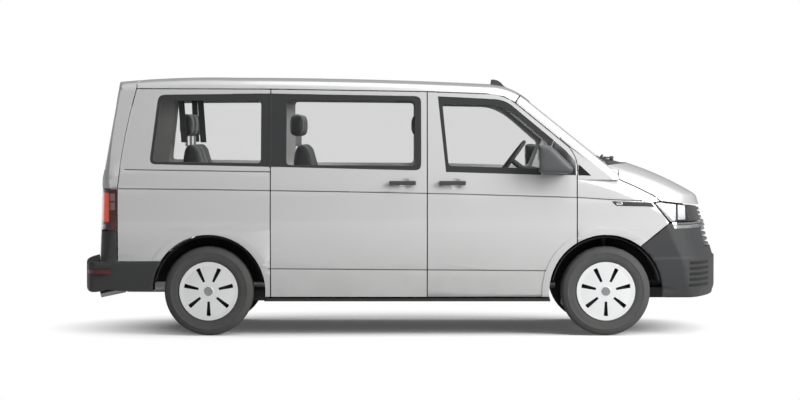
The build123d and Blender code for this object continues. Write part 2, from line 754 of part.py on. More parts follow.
# Wheel arch liners
def liner(axle_x, inner_y, outer_y):
    """Half-round shell over one wheel on the right, closed on its inner side."""
    with BuildPart() as cover:
        with BuildSketch(Plane.XZ.offset(inner_y)):
            with Locations((axle_x, TYRE_RADIUS)):
                Circle(LINER_RADIUS + 5)
        extrude(amount=outer_y - inner_y)
        with BuildSketch(Plane.XZ.offset(inner_y + 5)):
            with Locations((axle_x, TYRE_RADIUS)):
                Circle(LINER_RADIUS)
        extrude(amount=outer_y - inner_y, mode=Mode.SUBTRACT)
        with Locations((axle_x, -inner_y - 300, 0)):
            Box(1200, 800, 2 * (TYRE_RADIUS + 60), mode=Mode.SUBTRACT)
    return cover.part


strut_hole = rod((FRONT_AXLE_X, -720, 600), (FRONT_AXLE_X, -600, 860), 80)
front_liner = less(liner(FRONT_AXLE_X, 480 + FIT, 862), strut_hole)
rear_liner = liner(REAR_AXLE_X, 680 + FIT, 850)
save("arch_liners", front_liner, left(front_liner), rear_liner, left(rear_liner))

# Wheels
def tyre(axle_x, side_y):
    """Tyre with rounded shoulders and sidewalls."""
    half = TYRE_WIDTH / 2
    with BuildPart() as ring:
        with BuildSketch(Plane.XY.offset(TYRE_RADIUS)):
            with BuildLine():
                Polyline((axle_x + RIM_RADIUS, side_y - half + 14), (axle_x + RIM_RADIUS, side_y + half - 14))
                ThreePointArc(
                    (axle_x + RIM_RADIUS, side_y + half - 14),
                    (axle_x + 268, side_y + half),
                    (axle_x + TYRE_RADIUS - 14, side_y + half - 16),
                )
                ThreePointArc(
                    (axle_x + TYRE_RADIUS - 14, side_y + half - 16),
                    (axle_x + TYRE_RADIUS - 4, side_y + half - 20),
                    (axle_x + TYRE_RADIUS - 1, side_y + half - 32),
                )
                ThreePointArc(
                    (axle_x + TYRE_RADIUS - 1, side_y + half - 32),
                    (axle_x + TYRE_RADIUS, side_y),
                    (axle_x + TYRE_RADIUS - 1, side_y - half + 32),
                )
                ThreePointArc(
                    (axle_x + TYRE_RADIUS - 1, side_y - half + 32),
                    (axle_x + TYRE_RADIUS - 4, side_y - half + 20),
                    (axle_x + TYRE_RADIUS - 14, side_y - half + 16),
                )
                ThreePointArc(
                    (axle_x + TYRE_RADIUS - 14, side_y - half + 16),
                    (axle_x + 268, side_y - half),
                    (axle_x + RIM_RADIUS, side_y - half + 14),
                )
            make_face()
        revolve(axis=Axis((axle_x, 0, TYRE_RADIUS), (0, 1, 0)))
    return ring.part


def rim(axle_x, side_y, side):
    """Steel rim with the slotted cover on its outer side."""
    half = TYRE_WIDTH / 2

    def at(radius, offset_y):
        return (axle_x + radius, side_y + side * offset_y)

    spin = Axis((axle_x, 0, TYRE_RADIUS), (0, 1, 0))
    with BuildPart() as wheel:
        with BuildSketch(Plane.XY.offset(TYRE_RADIUS)):
            with BuildLine():
                Polyline(
                    at(0, 24),
                    at(0, 62),
                    at(150, 62),
                    at(186, 50),
                    at(186, half - 18),
                    at(RIM_RADIUS - FIT, half - 12),
                    at(RIM_RADIUS - FIT, 12 - half),
                    at(190, 12 - half),
                    at(180, 10),
                    at(150, 40),
                    at(90, 44),
                    at(80, -30),
                    at(140, -30),
                    at(140, -44),
                    at(66, -44),
                    at(66, 24),
                    close=True,
                )
            make_face()
        revolve(axis=spin)
        with BuildSketch(Plane.XY.offset(TYRE_RADIUS)):
            with BuildLine():
                Polyline(at(0, 60), at(40, 60), at(40, 98))
                ThreePointArc(at(40, 98), at(110, 97), at(196, 93))
                Polyline(at(196, 93), at(COVER_RADIUS, 99), at(COVER_RADIUS, 103), at(192, 101))
                ThreePointArc(at(192, 101), at(110, 105), at(36, 106))
                Polyline(at(36, 106), at(34, 108), at(0, 108), at(0, 60))
            make_face()
        revolve(axis=spin)
        with BuildSketch(Plane.XZ.offset(-side_y - side * 80)) as slots:
            with Locations((axle_x, TYRE_RADIUS)):
                with PolarLocations(0, COVER_SLOTS, start_angle=-90):
                    Polygon((78, -9), (186, -16), (189, 0), (186, 16), (78, 9), align=None)
        extrude(amount=-side * 60, mode=Mode.SUBTRACT)
    return wheel.part


WHEELS = (
    # corner, axle x, side
    ("front_left", FRONT_AXLE_X, 1),
    ("front_right", FRONT_AXLE_X, -1),
    ("rear_left", REAR_AXLE_X, 1),
    ("rear_right", REAR_AXLE_X, -1),
)
for corner, axle_x, side in WHEELS:
    save(f"tyre_{corner}", tyre(axle_x, side * WHEEL_Y))
    save(f"wheel_{corner}", rim(axle_x, side * WHEEL_Y, side))

# Steering knuckles with their hubs, and the struts and arms that carry them
def kingpin(side, z):
    """Point on the leaning kingpin at a height."""
    return (FRONT_AXLE_X, side * (KINGPIN_Y - (z - TYRE_RADIUS) * tan(radians(KINGPIN_LEAN))), z)


def knuckle(side):
    """Upright with a hub, carried on the kingpin."""
    hub = rod(kingpin(side, TYRE_RADIUS), (FRONT_AXLE_X, side * (WHEEL_Y + 24 - FIT), TYRE_RADIUS), 58)
    return joined(hub, rod(kingpin(side, 222), kingpin(side, 520), 24))


save("knuckle_left", knuckle(1))
save("knuckle_right", knuckle(-1))


def front_arm(side):
    """Lower arm with its ball stud, strut and strut tower on one side."""
    return joined(
        box((FRONT_AXLE_X - 30, FRONT_AXLE_X + 30), sorted((side * 300, side * 690)), (178, 204)),
        box((FRONT_AXLE_X - 18, FRONT_AXLE_X + 18), sorted((side * 680, side * 746)), (178, 204)),
        rod((FRONT_AXLE_X, side * 746, 178), (FRONT_AXLE_X, side * 746, 204), 18),
        rod(kingpin(side, 190), kingpin(side, 222 - FIT), 14),
        rod(kingpin(side, 520 + FIT), kingpin(side, 940), 22),
        rod(kingpin(side, 860), kingpin(side, 940), 60),
        box((FRONT_AXLE_X - 60, FRONT_AXLE_X + 60), sorted((side * 400, side * 660)), (930, 965)),
        box((FRONT_AXLE_X - 60, FRONT_AXLE_X + 60), sorted((side * 400, side * 450)), (240, 965)),
    )


subframe = joined(
    box((FRONT_AXLE_X - 260, FRONT_AXLE_X + 240), (-420, 420), (160, 260)),
    box((1430 + FIT, CROSSMEMBER_X), (-440, -390), (262, 340)),
    box((1430 + FIT, CROSSMEMBER_X), (390, 440), (262, 340)),
    box((CROSSMEMBER_X - 36, CROSSMEMBER_X), (-450, 450), (300, 920)),
    box((1430 + FIT, 1460), (-440, -390), (300, 560)),
    box((1430 + FIT, 1460), (390, 440), (300, 560)),
    front_arm(1),
    front_arm(-1),
)
save("front_subframe", subframe)

# Rear axle with trailing arms
def rear_arm(side):
    """Trailing arm with its hub and damper."""
    return joined(
        box((REAR_AXLE_X - 60, REAR_AXLE_X + 560), sorted((side * 560, side * 640)), (250, 330)),
        box((REAR_AXLE_X + 480, REAR_AXLE_X + 560), sorted((side * 560, side * 640)), (250, FLOOR_Z - 40)),
        rod((REAR_AXLE_X, side * 600, TYRE_RADIUS), (REAR_AXLE_X, side * (WHEEL_Y + 24 - FIT), TYRE_RADIUS), 58),
        rod((REAR_AXLE_X, side * 716, TYRE_RADIUS), (REAR_AXLE_X, side * 734, TYRE_RADIUS), 140),
    )


rear_axle = joined(
    rear_arm(1),
    rear_arm(-1),
    rod((REAR_AXLE_X + 60, -600, 300), (REAR_AXLE_X + 60, 600, 300), 45),
)
save("rear_axle", rear_axle)

# Engine, tank and exhaust
save("engine", box((1500, 2180), (-360, 360), (260 + FIT, 880), 30))
save("fuel_tank", box((-700, 200), (100, 640), (270, FLOOR_Z - 40), 25))
exhaust = joined(
    rod((1200, -200, 360), (-1000, -200, 360), 35),
    box((-2150, -1700), (-420, -120), (300, 440), 40),
    rod((-1000, -200, 360), (-1720, -300, 400), 35),
    rod((-2140, -380, 325), (-2330, -380, 285), 28),
    box((-420, -380), (-240, -160), (360, FLOOR_Z - 40)),
    box((-1980, -1940), (-320, -280), (420, FLOOR_Z - 40)),
)
save("exhaust", exhaust)

# Dashboard and steering wheel
WHEEL_CENTRE = (880, 405, 1318)
COLUMN_TILT = 37
COLUMN_LENGTH = 120


def column_point(distance):
    """Point on the steering column ahead of the wheel centre."""
    x, y, z = WHEEL_CENTRE
    return (x + distance * cos(radians(COLUMN_TILT)), y, z - distance * sin(radians(COLUMN_TILT)))


dash = less(
    joined(
        box((1040, 1400 - FIT), (-735, 735), (820, 1235), 30),
        box((960, 1100), (230, 580), (1150, 1262), 30),
        box((1030, 1390), (-180, 180), (FLOOR_Z + FIT, 900), 20),
    ),
    rod(WHEEL_CENTRE, column_point(COLUMN_LENGTH + FIT), 22 + FIT),
)
save("dashboard", dash)
tilt_plane = Plane(
    origin=WHEEL_CENTRE,
    x_dir=(0, 1, 0),
    z_dir=(-cos(radians(COLUMN_TILT)), 0, sin(radians(COLUMN_TILT))),
)
with BuildPart() as steering_wheel:
    with BuildSketch(tilt_plane.offset(-16)):
        Circle(192)
        Circle(162, mode=Mode.SUBTRACT)
        with PolarLocations(0, 3, start_angle=90):
            with Locations((95, 0)):
                Rectangle(160, 36)
        Circle(62)
    extrude(amount=30)
    with BuildSketch(tilt_plane.offset(-COLUMN_LENGTH)):
        Circle(22)
    extrude(amount=COLUMN_LENGTH - 10)
save("steering_wheel", steering_wheel.part)

# Seats
def seat(rear_x, centre_y, width, head_places):
    """Cushion, backrest and headrests on a plinth."""
    half = width / 2
    front_x = rear_x + 620
    pieces = [
        box((rear_x + 130, front_x - 60), (centre_y - half + 40, centre_y + half - 40), (FLOOR_Z, 760)),
        box((rear_x + 80, front_x), (centre_y - half, centre_y + half), (740, 900), 35),
    ]
    with BuildPart() as back:
        with BuildSketch(Plane.XZ.offset(-centre_y - half)) as side:
            with BuildLine():
                Polyline(
                    (rear_x + 70, 790),
                    (rear_x + 215, 790),
                    (rear_x + 110, 1290),
                    (rear_x + 60, 1470),
                    (rear_x - 20, 1470),
                    (rear_x - 40, 1300),
                    close=True,
                )
            make_face()
        extrude(amount=width)
        fillet(back.edges(), 24)
    pieces.append(back.part)
    for place in head_places:
        y = centre_y + place
        pieces.append(box((rear_x - 75, rear_x + 40), (y - 125, y + 125), (1500, 1686), 40))
        pieces.append(box((rear_x - 30, rear_x - 10), (y - 60, y + 60), (1440, 1540)))
    return joined(*pieces)


save("front_seats", seat(150, 405, 520, (0,)), seat(150, -405, 520, (0,)))
save("second_row_seat", seat(-790, 0, 1240, (-410, 0, 410)))
save("third_row_seat", seat(-1640, 0, 1240, (-410, 0, 410)))

# Cowl below the windscreen, with wipers
with BuildPart() as behind_bonnet:
    with BuildSketch(Plane.XY.offset(900)):
        with BuildLine():
            ThreePointArc((1480, -850), (COWL_X - PANEL_GAP, 0), (1480, 850))
            Polyline((1480, 850), (1432, 850), (1432, -850), (1480, -850))
        make_face()
    extrude(amount=700)
cowl_skin = shell(nose(14), nose(34))
bonnet_room = box((1556, COWL_X), (-745, -560), (1100, 1400))
cowl = less(common(cowl_skin, behind_bonnet.part), cabin(1 - FIT, 1 - FIT), bonnet_room, left(bonnet_room))
save("cowl", cowl)

# Roof fin antenna
with BuildPart() as antenna:
    with BuildSketch(Plane.XZ.offset(-12)):
        with BuildLine():
            Polyline((700, 1908), (826, 1890), (800, 1908))
            ThreePointArc((800, 1908), (755, 1946), (706, 1952))
            Line((706, 1952), (700, 1908))
        make_face()
    extrude(amount=24)
    add(outer_cabin, mode=Mode.SUBTRACT)
save("antenna", less(antenna.part, roof))

# Door handles
for node, x in (("sliding_door_handle", 9), ("door_handle_right", 385)):
    handle = joined(
        box((x - 100, x + 100), (-HALF_WIDTH - 24, -HALF_WIDTH - 6), (1140, 1172), 8),
        box((x - 96, x - 66), (-HALF_WIDTH - 14, -HALF_WIDTH + 30), (1144, 1168)),
        box((x + 66, x + 96), (-HALF_WIDTH - 14, -HALF_WIDTH + 30), (1144, 1168)),
    )
    handle = less(handle, sliding_door, front_door)
    save(node, handle)
    if node == "door_handle_right":
        save("door_handle_left", left(handle))
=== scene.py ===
"""Minivan: paint, glass, wheels, lamps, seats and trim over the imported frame."""

import json
import logging
import math
from dataclasses import dataclass, field, replace
from enum import Enum

import bpy
from mathutils import Matrix, Vector
from mathutils.bvhtree import BVHTree

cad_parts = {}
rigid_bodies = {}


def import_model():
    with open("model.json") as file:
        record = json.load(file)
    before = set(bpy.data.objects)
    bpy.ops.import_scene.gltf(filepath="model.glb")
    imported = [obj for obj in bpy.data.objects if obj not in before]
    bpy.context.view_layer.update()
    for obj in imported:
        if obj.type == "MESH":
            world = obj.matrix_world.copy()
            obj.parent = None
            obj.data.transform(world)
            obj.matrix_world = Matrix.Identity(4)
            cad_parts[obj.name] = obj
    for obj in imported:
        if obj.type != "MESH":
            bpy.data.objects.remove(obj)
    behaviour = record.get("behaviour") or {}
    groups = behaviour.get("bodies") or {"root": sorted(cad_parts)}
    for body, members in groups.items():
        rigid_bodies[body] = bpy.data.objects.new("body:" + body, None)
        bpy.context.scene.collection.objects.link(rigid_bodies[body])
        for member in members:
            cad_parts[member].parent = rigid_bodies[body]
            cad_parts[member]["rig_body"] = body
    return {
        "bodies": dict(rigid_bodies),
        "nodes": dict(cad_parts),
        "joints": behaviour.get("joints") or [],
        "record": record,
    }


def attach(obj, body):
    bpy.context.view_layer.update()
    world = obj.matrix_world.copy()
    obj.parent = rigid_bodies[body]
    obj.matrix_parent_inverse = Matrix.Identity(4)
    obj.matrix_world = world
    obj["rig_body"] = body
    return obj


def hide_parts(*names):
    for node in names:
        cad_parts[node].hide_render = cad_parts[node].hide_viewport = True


logging.basicConfig(level=logging.INFO, format="%(message)s")
LOG = logging.getLogger("minivan")
Piece = bpy.types.Object
Point = tuple[float, float]
Colour = tuple[float, float, float]

ACROSS = Vector((0, 1, 0))
UP = Vector((0, 0, 1))
BACK = Vector((-1, 0, 0))
WELD = 0.00004

# Measures of the solids that several pieces share, in metres.
AXLES = (1.544, -1.456)
WHEEL_Z = 0.3375
HUB_FACE = 0.922
BELT_Z, BELT_Y, BAND_LEAN = 1.262, 0.913, 0.158
WIDEST_Z, WIDEST_Y = 0.850, 0.946
SILL_DROP, SILL_TUCK = 0.563, 0.062
NOSE_FOOT_X, NOSE_FOOT_Z, NOSE_LEAN = 2.548, 0.2, math.tan(math.radians(15.6))
CUSHION_Z = 0.752
FRIT_TONE = (0.040, 0.041, 0.042)


class Slot(Enum):
    """Material slots of the record."""

    PAINT = "body_paint"
    PLASTIC = "black_plastic"
    GLASS = "glass"
    TRIM = "interior_plastic"
    FABRIC = "seat_fabric"
    STEEL = "chassis_steel"
    UNDERBODY = "underbody"
    IRON = "engine_iron"
    TANK = "tank_plastic"
    HEADLAMP = "headlamp"
    TAIL_LAMP = "tail_lamp"
    TYRE = "tyre"
    COVER = "wheel_cover"


class Value:
    """Shader number that takes part in Python arithmetic."""

    def __init__(self, tree: bpy.types.NodeTree, socket: bpy.types.NodeSocket) -> None:
        """Wrap one output socket."""
        self.tree = tree
        self.socket = socket

    def math(self, operation: str, *values: "Value | float") -> "Value":
        """Add a Math node.

        Args:
            operation: Name of the Math operation.
            values: Its inputs in order.

        Returns:
            The node's result.
        """
        node = self.tree.nodes.new("ShaderNodeMath")
        node.operation = operation
        for slot, value in zip(node.inputs, values):
            if isinstance(value, Value):
                self.tree.links.new(value.socket, slot)
            else:
                slot.default_value = value
        return Value(self.tree, node.outputs[0])

    def __add__(self, other: "Value | float") -> "Value":
        """Sum."""
        return self.math("ADD", self, other)

    __radd__ = __add__

    def __sub__(self, other: "Value | float") -> "Value":
        """Difference."""
        return self.math("SUBTRACT", self, other)

    def __rsub__(self, other: float) -> "Value":
        """Difference from a number."""
        return self.math("SUBTRACT", other, self)

    def __mul__(self, other: "Value | float") -> "Value":
        """Product."""
        return self.math("MULTIPLY", self, other)

    __rmul__ = __mul__

    def __abs__(self) -> "Value":
        """Size without its sign."""
        return self.math("ABSOLUTE", self)

    def over(self, edge: float, width: float) -> "Value":
        """Soft step from 0 to 1 round an edge, as wide as given."""
        node = self.tree.nodes.new("ShaderNodeMapRange")
        node.inputs["From Min"].default_value = edge - width / 2
        node.inputs["From Max"].default_value = edge + width / 2
        self.tree.links.new(self.socket, node.inputs["Value"])
        return Value(self.tree, node.outputs[0])

    def between(self, low: float, high: float, width: float) -> "Value":
        """One between two edges and 0 outside, with soft steps as wide as given."""
        return self.over(low, width) * (1.0 - self.over(high, width))

    def least(self, other: "Value | float", blend: float) -> "Value":
        """Smaller of two, with a rounded change between them."""
        return self.math("SMOOTH_MIN", self, other, blend)

    def most(self, other: "Value | float") -> "Value":
        """Larger of two."""
        return self.math("MAXIMUM", self, other)

    def sine(self) -> "Value":
        """Sine of an angle in radians."""
        return self.math("SINE", self)

    def root(self) -> "Value":
        """Square root."""
        return self.math("SQRT", self)


class FinishNodes:
    """Nodes of one material round its Principled shader."""

    def __init__(self, name: str) -> None:
        """Start a material."""
        self.material = bpy.data.materials.new(name)
        self.material.use_nodes = True
        self.tree = self.material.node_tree
        self.shader = next(n for n in self.tree.nodes if n.type == "BSDF_PRINCIPLED")
        self.place: Value | None = None

    def add(
        self, kind: str, settings: dict | None = None, inputs: dict | None = None, output: int = 0
    ) -> Value:
        """Add one node.

        Args:
            kind: Node type.
            settings: Attributes that are set first.
            inputs: Values or links of its sockets, by name or number.
            output: Number of the output to return.

        Returns:
            That output.
        """
        node = self.tree.nodes.new(kind)
        for key, value in (settings or {}).items():
            setattr(node, key, value)
        for key, value in (inputs or {}).items():
            if isinstance(value, Value):
                self.tree.links.new(value.socket, node.inputs[key])
            else:
                node.inputs[key].default_value = value
        return Value(self.tree, node.outputs[output])

    def point(self) -> Value:
        """Object coordinates."""
        if self.place is None:
            self.place = self.add("ShaderNodeTexCoord", output=3)
        return self.place

    def axes(self) -> tuple[Value, Value, Value]:
        """Object x, y and z in metres."""
        node = self.add("ShaderNodeSeparateXYZ", inputs={0: self.point()})
        outputs = node.socket.node.outputs
        return tuple(Value(self.tree, outputs[i]) for i in range(3))

    def noise(self, scale: float, detail: float = 3.0) -> Value:
        """Cloudy pattern between 0 and 1."""
        inputs = {"Vector": self.point(), "Scale": scale, "Detail": detail}
        return self.add("ShaderNodeTexNoise", inputs=inputs)

    def cells(self, scale: float) -> Value:
        """Distance to the nearest grain."""
        return self.add("ShaderNodeTexVoronoi", inputs={"Vector": self.point(), "Scale": scale})

    def blend(self, factor: Value, low: tuple | Value, high: tuple | Value) -> Value:
        """Colour between two others."""
        colours = {}
        for key, colour in ((6, low), (7, high)):
            colours[key] = colour if isinstance(colour, Value) else (*colour[:3], 1.0)
        return self.add("ShaderNodeMix", {"data_type": "RGBA"}, {0: factor, **colours}, 2)

    def relief(self, height: Value, strength: float, distance: float) -> None:
        """Bump the surface by a height."""
        inputs = {"Height": height, "Strength": strength, "Distance": distance}
        self.wire({"Normal": self.add("ShaderNodeBump", inputs=inputs)})

    def wire(self, sockets: dict) -> None:
        """Set or link the shader's own sockets."""
        for name, value in sockets.items():
            socket = self.shader.inputs[name]
            if isinstance(value, Value):
                self.tree.links.new(value.socket, socket)
            elif isinstance(value, tuple):
                socket.default_value = (*value[:3], 1.0)
            else:
                socket.default_value = value


@dataclass(frozen=True)
class Finish:
    """Finish with a name and a colour."""

    name: str
    colour: Colour

    def shade(self, share: float) -> Colour:
        """Colour of the finish at a share of its brightness."""
        return tuple(c * share for c in self.colour)

    def dress(self, nodes: FinishNodes) -> None:
        """Wire the shader."""
        nodes.wire({"Base Color": self.colour})

    def material(self) -> bpy.types.Material:
        """Make the material once and reuse it."""
        found = bpy.data.materials.get(self.name)
        if found is None:
            nodes = FinishNodes(self.name)
            self.dress(nodes)
            found = nodes.material
        return found


@dataclass(frozen=True)
class CarPaint(Finish):
    """Lacquered silver-white paint with faint flake and orange peel, darker and rougher in patches
    towards the bottom.
    """

    metallic: float = 0.15

    def dress(self, nodes: FinishNodes) -> None:
        """Wire the shader."""
        _, _, z = nodes.axes()
        # Darker, rougher patches towards the bottom of the body, and the colour they darken to.
        low_fade = (1.0 - z.over(0.55, 0.6)) * (0.35 + nodes.noise(6.0) * 0.5)
        flake = nodes.noise(900.0, 1.0)
        tone = nodes.blend(flake, self.shade(0.965), self.colour)
        low_tone = tuple(c * f for c, f in zip(self.colour, (0.58, 0.574, 0.564)))
        nodes.wire({
            "Base Color": nodes.blend(low_fade * 0.8, tone, low_tone),
            "Roughness": 0.34 + low_fade * 0.2,
            "Metallic": self.metallic,
            "Coat Weight": 0.9,
            "Coat Roughness": 0.06,
        })
        nodes.relief(nodes.noise(240.0, 1.0), 0.02, 0.002)


@dataclass(frozen=True)
class GrainedPlastic(Finish):
    """Moulded plastic with a fine leather grain."""

    grain: float = 420.0
    depth: float = 0.25
    roughness: float = 0.5

    def dress(self, nodes: FinishNodes) -> None:
        """Wire the shader."""
        cloud = nodes.noise(5.0)
        worn = tuple(min(1.0, c * 1.25 + 0.006) for c in self.colour)
        nodes.wire({
            "Base Color": nodes.blend(cloud, self.colour, worn),
            "Roughness": self.roughness + cloud * 0.18,
        })
        nodes.relief(nodes.cells(self.grain) + nodes.noise(self.grain * 2.0) * 0.5, self.depth, 0.0006)


@dataclass(frozen=True)
class TyreRubber(Finish):
    """Tyre rubber with dust on its sidewalls and fine mould rings."""

    def dress(self, nodes: FinishNodes) -> None:
        """Wire the shader."""
        x, _, z = nodes.axes()
        near = x.math("MINIMUM", *(abs(x - axle) for axle in AXLES))
        up = z - WHEEL_Z
        radius = (near * near + up * up).root()
        rings = (radius * 900.0).sine()
        dust = nodes.noise(14.0) * radius.over(0.22, 0.1)
        nodes.wire({
            "Base Color": nodes.blend(dust * 0.55, self.colour, (0.115, 0.112, 0.106)),
            "Roughness": 0.62 + dust * 0.25,
        })
        nodes.relief(rings * 0.35 + nodes.noise(500.0) * 0.5, 0.25, 0.0008)


@dataclass(frozen=True)
class WheelCover(Finish):
    """Silver lacquered cover over a dark steel rim."""

    face_y: float = 0.898

    def dress(self, nodes: FinishNodes) -> None:
        """Wire the shader."""
        _, y, _ = nodes.axes()
        face = abs(y).over(self.face_y, 0.004)
        grime = nodes.noise(20.0)
        lacquer = nodes.blend(grime * 0.25, self.colour, self.shade(0.82))
        nodes.wire({
            "Base Color": nodes.blend(face, (0.02, 0.02, 0.021), lacquer),
            "Roughness": 0.62 - face * 0.3 + grime * 0.08,
            "Metallic": 0.25,
            "Coat Weight": face * 0.5,
        })
        nodes.relief(nodes.noise(300.0), 0.04, 0.001)


@dataclass(frozen=True)
class Metal(Finish):
    """Metal with cloudy roughness."""

    roughness: float = 0.3
    metallic: float = 1.0

    def dress(self, nodes: FinishNodes) -> None:
        """Wire the shader."""
        cloud = nodes.noise(18.0)
        nodes.wire({
            "Base Color": nodes.blend(cloud, self.colour, self.shade(0.8)),
            "Roughness": self.roughness + cloud * 0.2,
            "Metallic": self.metallic,
        })
        nodes.relief(nodes.noise(220.0), 0.08, 0.001)


@dataclass(frozen=True)
class Mirrored(Finish):
    """Bright plated or silvered surface."""

    def dress(self, nodes: FinishNodes) -> None:
        """Wire the shader."""
        roughness = 0.05 + nodes.noise(40.0) * 0.06
        nodes.wire({"Base Color": self.colour, "Metallic": 1.0, "Roughness": roughness})


@dataclass(frozen=True)
class Lens(Finish):
    """Clear or tinted lamp lens with moulded ribs."""

    alpha: float = 0.35
    ribs: float = 0.0
    coat: float = 1.0

    def dress(self, nodes: FinishNodes) -> None:
        """Wire the shader."""
        _, y, z = nodes.axes()
        cloud = nodes.noise(30.0)
        nodes.wire({
            "Base Color": nodes.blend(cloud, self.colour, self.shade(0.85)),
            "Alpha": self.alpha,
            "Roughness": 0.05 + cloud * 0.05 + (1.0 - self.coat) * 0.3,
            "Coat Weight": self.coat,
        })
        if self.ribs:
            wave = (z * self.ribs).sine() + (y * self.ribs).sine()
            nodes.relief(wave, 0.3, 0.002)


@dataclass(frozen=True)
class TailLens(Finish):
    """Red rear lamp with darker frame, clear lower chamber and moulded cells."""

    def dress(self, nodes: FinishNodes) -> None:
        """Wire the shader."""
        x, _, z = nodes.axes()
        rear_half = 1.0 - x.over(-2.206, 0.008)
        bright = rear_half * z.between(0.862, 1.080, 0.012)
        clear = (1.0 - x.over(-2.236, 0.01)) * z.between(0.812, 0.846, 0.006)
        columns = x.between(-2.200, -2.160, 0.003)
        rows = z.between(0.945, 1.080, 0.004) * abs((z * 46.5).sine()).over(0.25, 0.1)
        grid = (z * 420.0).sine() * (x * 420.0).sine()
        dark = nodes.blend(columns * rows, (0.060, 0.004, 0.006), (0.20, 0.12, 0.115))
        red = nodes.blend(bright, dark, self.colour)
        nodes.wire({
            "Base Color": nodes.blend(clear, red, (0.62, 0.62, 0.60)),
            "Emission Color": nodes.blend(bright, (0.0, 0.0, 0.0), (0.55, 0.060, 0.024)),
            "Emission Strength": 0.55,
            "Roughness": 0.16 + nodes.noise(30.0) * 0.06,
            "Coat Weight": 0.3,
        })
        nodes.relief(grid, 0.25, 0.002)


@dataclass(frozen=True)
class LampFace(Finish):
    """Inside of a head lamp: reflectors painted pale as a painted reflection, lighter towards the top
    and in stepped bands as painted light, in black surrounds, dark towards the grille.
    """

    slant: tuple[float, float, float] = (0.727, 0.687, 2.0696)

    def dress(self, nodes: FinishNodes) -> None:
        """Wire the shader."""
        x, _, z = nodes.axes()
        depth = x * self.slant[0] + z * self.slant[1] - self.slant[2]
        below_top = 1.0 - (z + x * 0.12).over(1.240, 0.004)
        window = depth.over(0.018, 0.004) * z.over(0.878, 0.004) * below_top
        first = window * (1.0 - x.over(2.072, 0.003))
        second = window * x.between(2.088, 2.150, 0.003)
        steps = abs((depth * 130.0).sine()).over(0.35, 0.5)
        # Painted reflection in the reflectors: grey low down, near white at the top, with brighter
        # stepped bands.
        shade = 0.30 + z.over(0.925, 0.08) * 0.5 + steps * 0.2
        glow = nodes.blend(shade, (0.16, 0.165, 0.17), self.colour)
        nodes.wire({
            "Base Color": nodes.blend(first + second, (0.012, 0.012, 0.013), glow),
            "Roughness": 0.16 + steps * 0.1,
            "Coat Weight": 0.6,
        })
        nodes.relief((z * 500.0).sine(), 0.15, 0.002)


@dataclass(frozen=True)
class PaneGlass(Finish):
    """Clear pane with a black border outside its clear shapes, and paint outside its frames."""

    clear: tuple[tuple[Point, ...], ...] = ()
    frame: tuple[tuple[Point, ...], ...] = ()
    across: str = "x"
    corner: float = 0.045
    alpha: float = 0.10
    border: Colour = FRIT_TONE

    def depth(
        self, nodes: FinishNodes, outlines: tuple[tuple[Point, ...], ...], corner: float
    ) -> Value:
        """Distance inside the nearest of some shapes.

        Args:
            nodes: Nodes of the material.
            outlines: Corners of each shape, anticlockwise.
            corner: Width over which two edges blend.

        Returns:
            The distance, below zero outside.
        """
        x, y, z = nodes.axes()
        along = x if self.across == "x" else y
        nearest = None
        for outline in outlines:
            inside = None
            for (a0, b0), (a1, b1) in zip(outline, outline[1:] + outline[:1]):
                length = math.hypot(a1 - a0, b1 - b0)
                normal_a, normal_b = (b0 - b1) / length, (a1 - a0) / length
                edge = along * normal_a + z * normal_b - (a0 * normal_a + b0 * normal_b)
                inside = edge if inside is None else inside.least(edge, corner)
            nearest = inside if nearest is None else nearest.most(inside)
        return nearest

    def dress(self, nodes: FinishNodes) -> None:
        """Wire the shader."""
        open_glass = self.depth(nodes, self.clear, self.corner).over(0.0, 0.003)
        tone = nodes.blend(open_glass, self.border, self.colour)
        if self.frame:
            printed = self.depth(nodes, self.frame, 0.075).over(0.0, 0.003)
            tone = nodes.blend(printed, PAINT.colour, tone)
        nodes.wire({
            "Base Color": tone,
            "Alpha": 1.0 - open_glass * (1.0 - self.alpha),
            "Roughness": 0.05 + nodes.noise(8.0) * 0.04,
            "Specular IOR Level": 0.4,
        })


@dataclass(frozen=True)
class SeatCloth(Finish):
    """Woven seat cloth with crossing threads and worn nap."""

    thread: float = 1900.0

    def dress(self, nodes: FinishNodes) -> None:
        """Wire the shader."""
        x, y, z = nodes.axes()
        warp = (y * self.thread).sine()
        weft = ((x + z) * self.thread).sine()
        nap = nodes.noise(24.0)
        weave = warp * weft
        light = tuple(c * 1.9 + 0.004 for c in self.colour)
        nodes.wire({
            "Base Color": nodes.blend(weave * 0.25 + nap * 0.5, self.colour, light),
            "Roughness": 0.82 + nap * 0.12,
            "Sheen Weight": 0.25,
            "Sheen Roughness": 0.5,
        })
        nodes.relief(weave, 0.35, 0.0008)


PAINT = CarPaint("silver_white_paint", (0.60, 0.603, 0.60))
PLASTIC = GrainedPlastic("bumper_plastic", (0.024, 0.0245, 0.026), depth=0.3, roughness=0.58)
MIRROR_CASE = GrainedPlastic("mirror_plastic", (0.060, 0.061, 0.063), depth=0.2, roughness=0.36)
HANDLE = GrainedPlastic("handle_plastic", (0.035, 0.035, 0.037), depth=0.2, roughness=0.42)
GLOSS_BLACK = GrainedPlastic("gloss_black", (0.010, 0.010, 0.011), grain=60.0, depth=0.02, roughness=0.1)
LINER = GrainedPlastic("liner_felt", (0.008, 0.008, 0.008), grain=700.0, depth=0.6, roughness=0.85)
INTERIOR = GrainedPlastic("cabin_plastic", (0.045, 0.045, 0.048), depth=0.3, roughness=0.6)
LINING = GrainedPlastic("headlining", (0.62, 0.62, 0.61), grain=900.0, depth=0.3, roughness=0.85)
FRIT = GrainedPlastic("printed_border", FRIT_TONE, grain=60.0, depth=0.02, roughness=0.1)
SEALANT = GrainedPlastic("underbody_seal", (0.020, 0.020, 0.021), grain=160.0, depth=0.4, roughness=0.75)
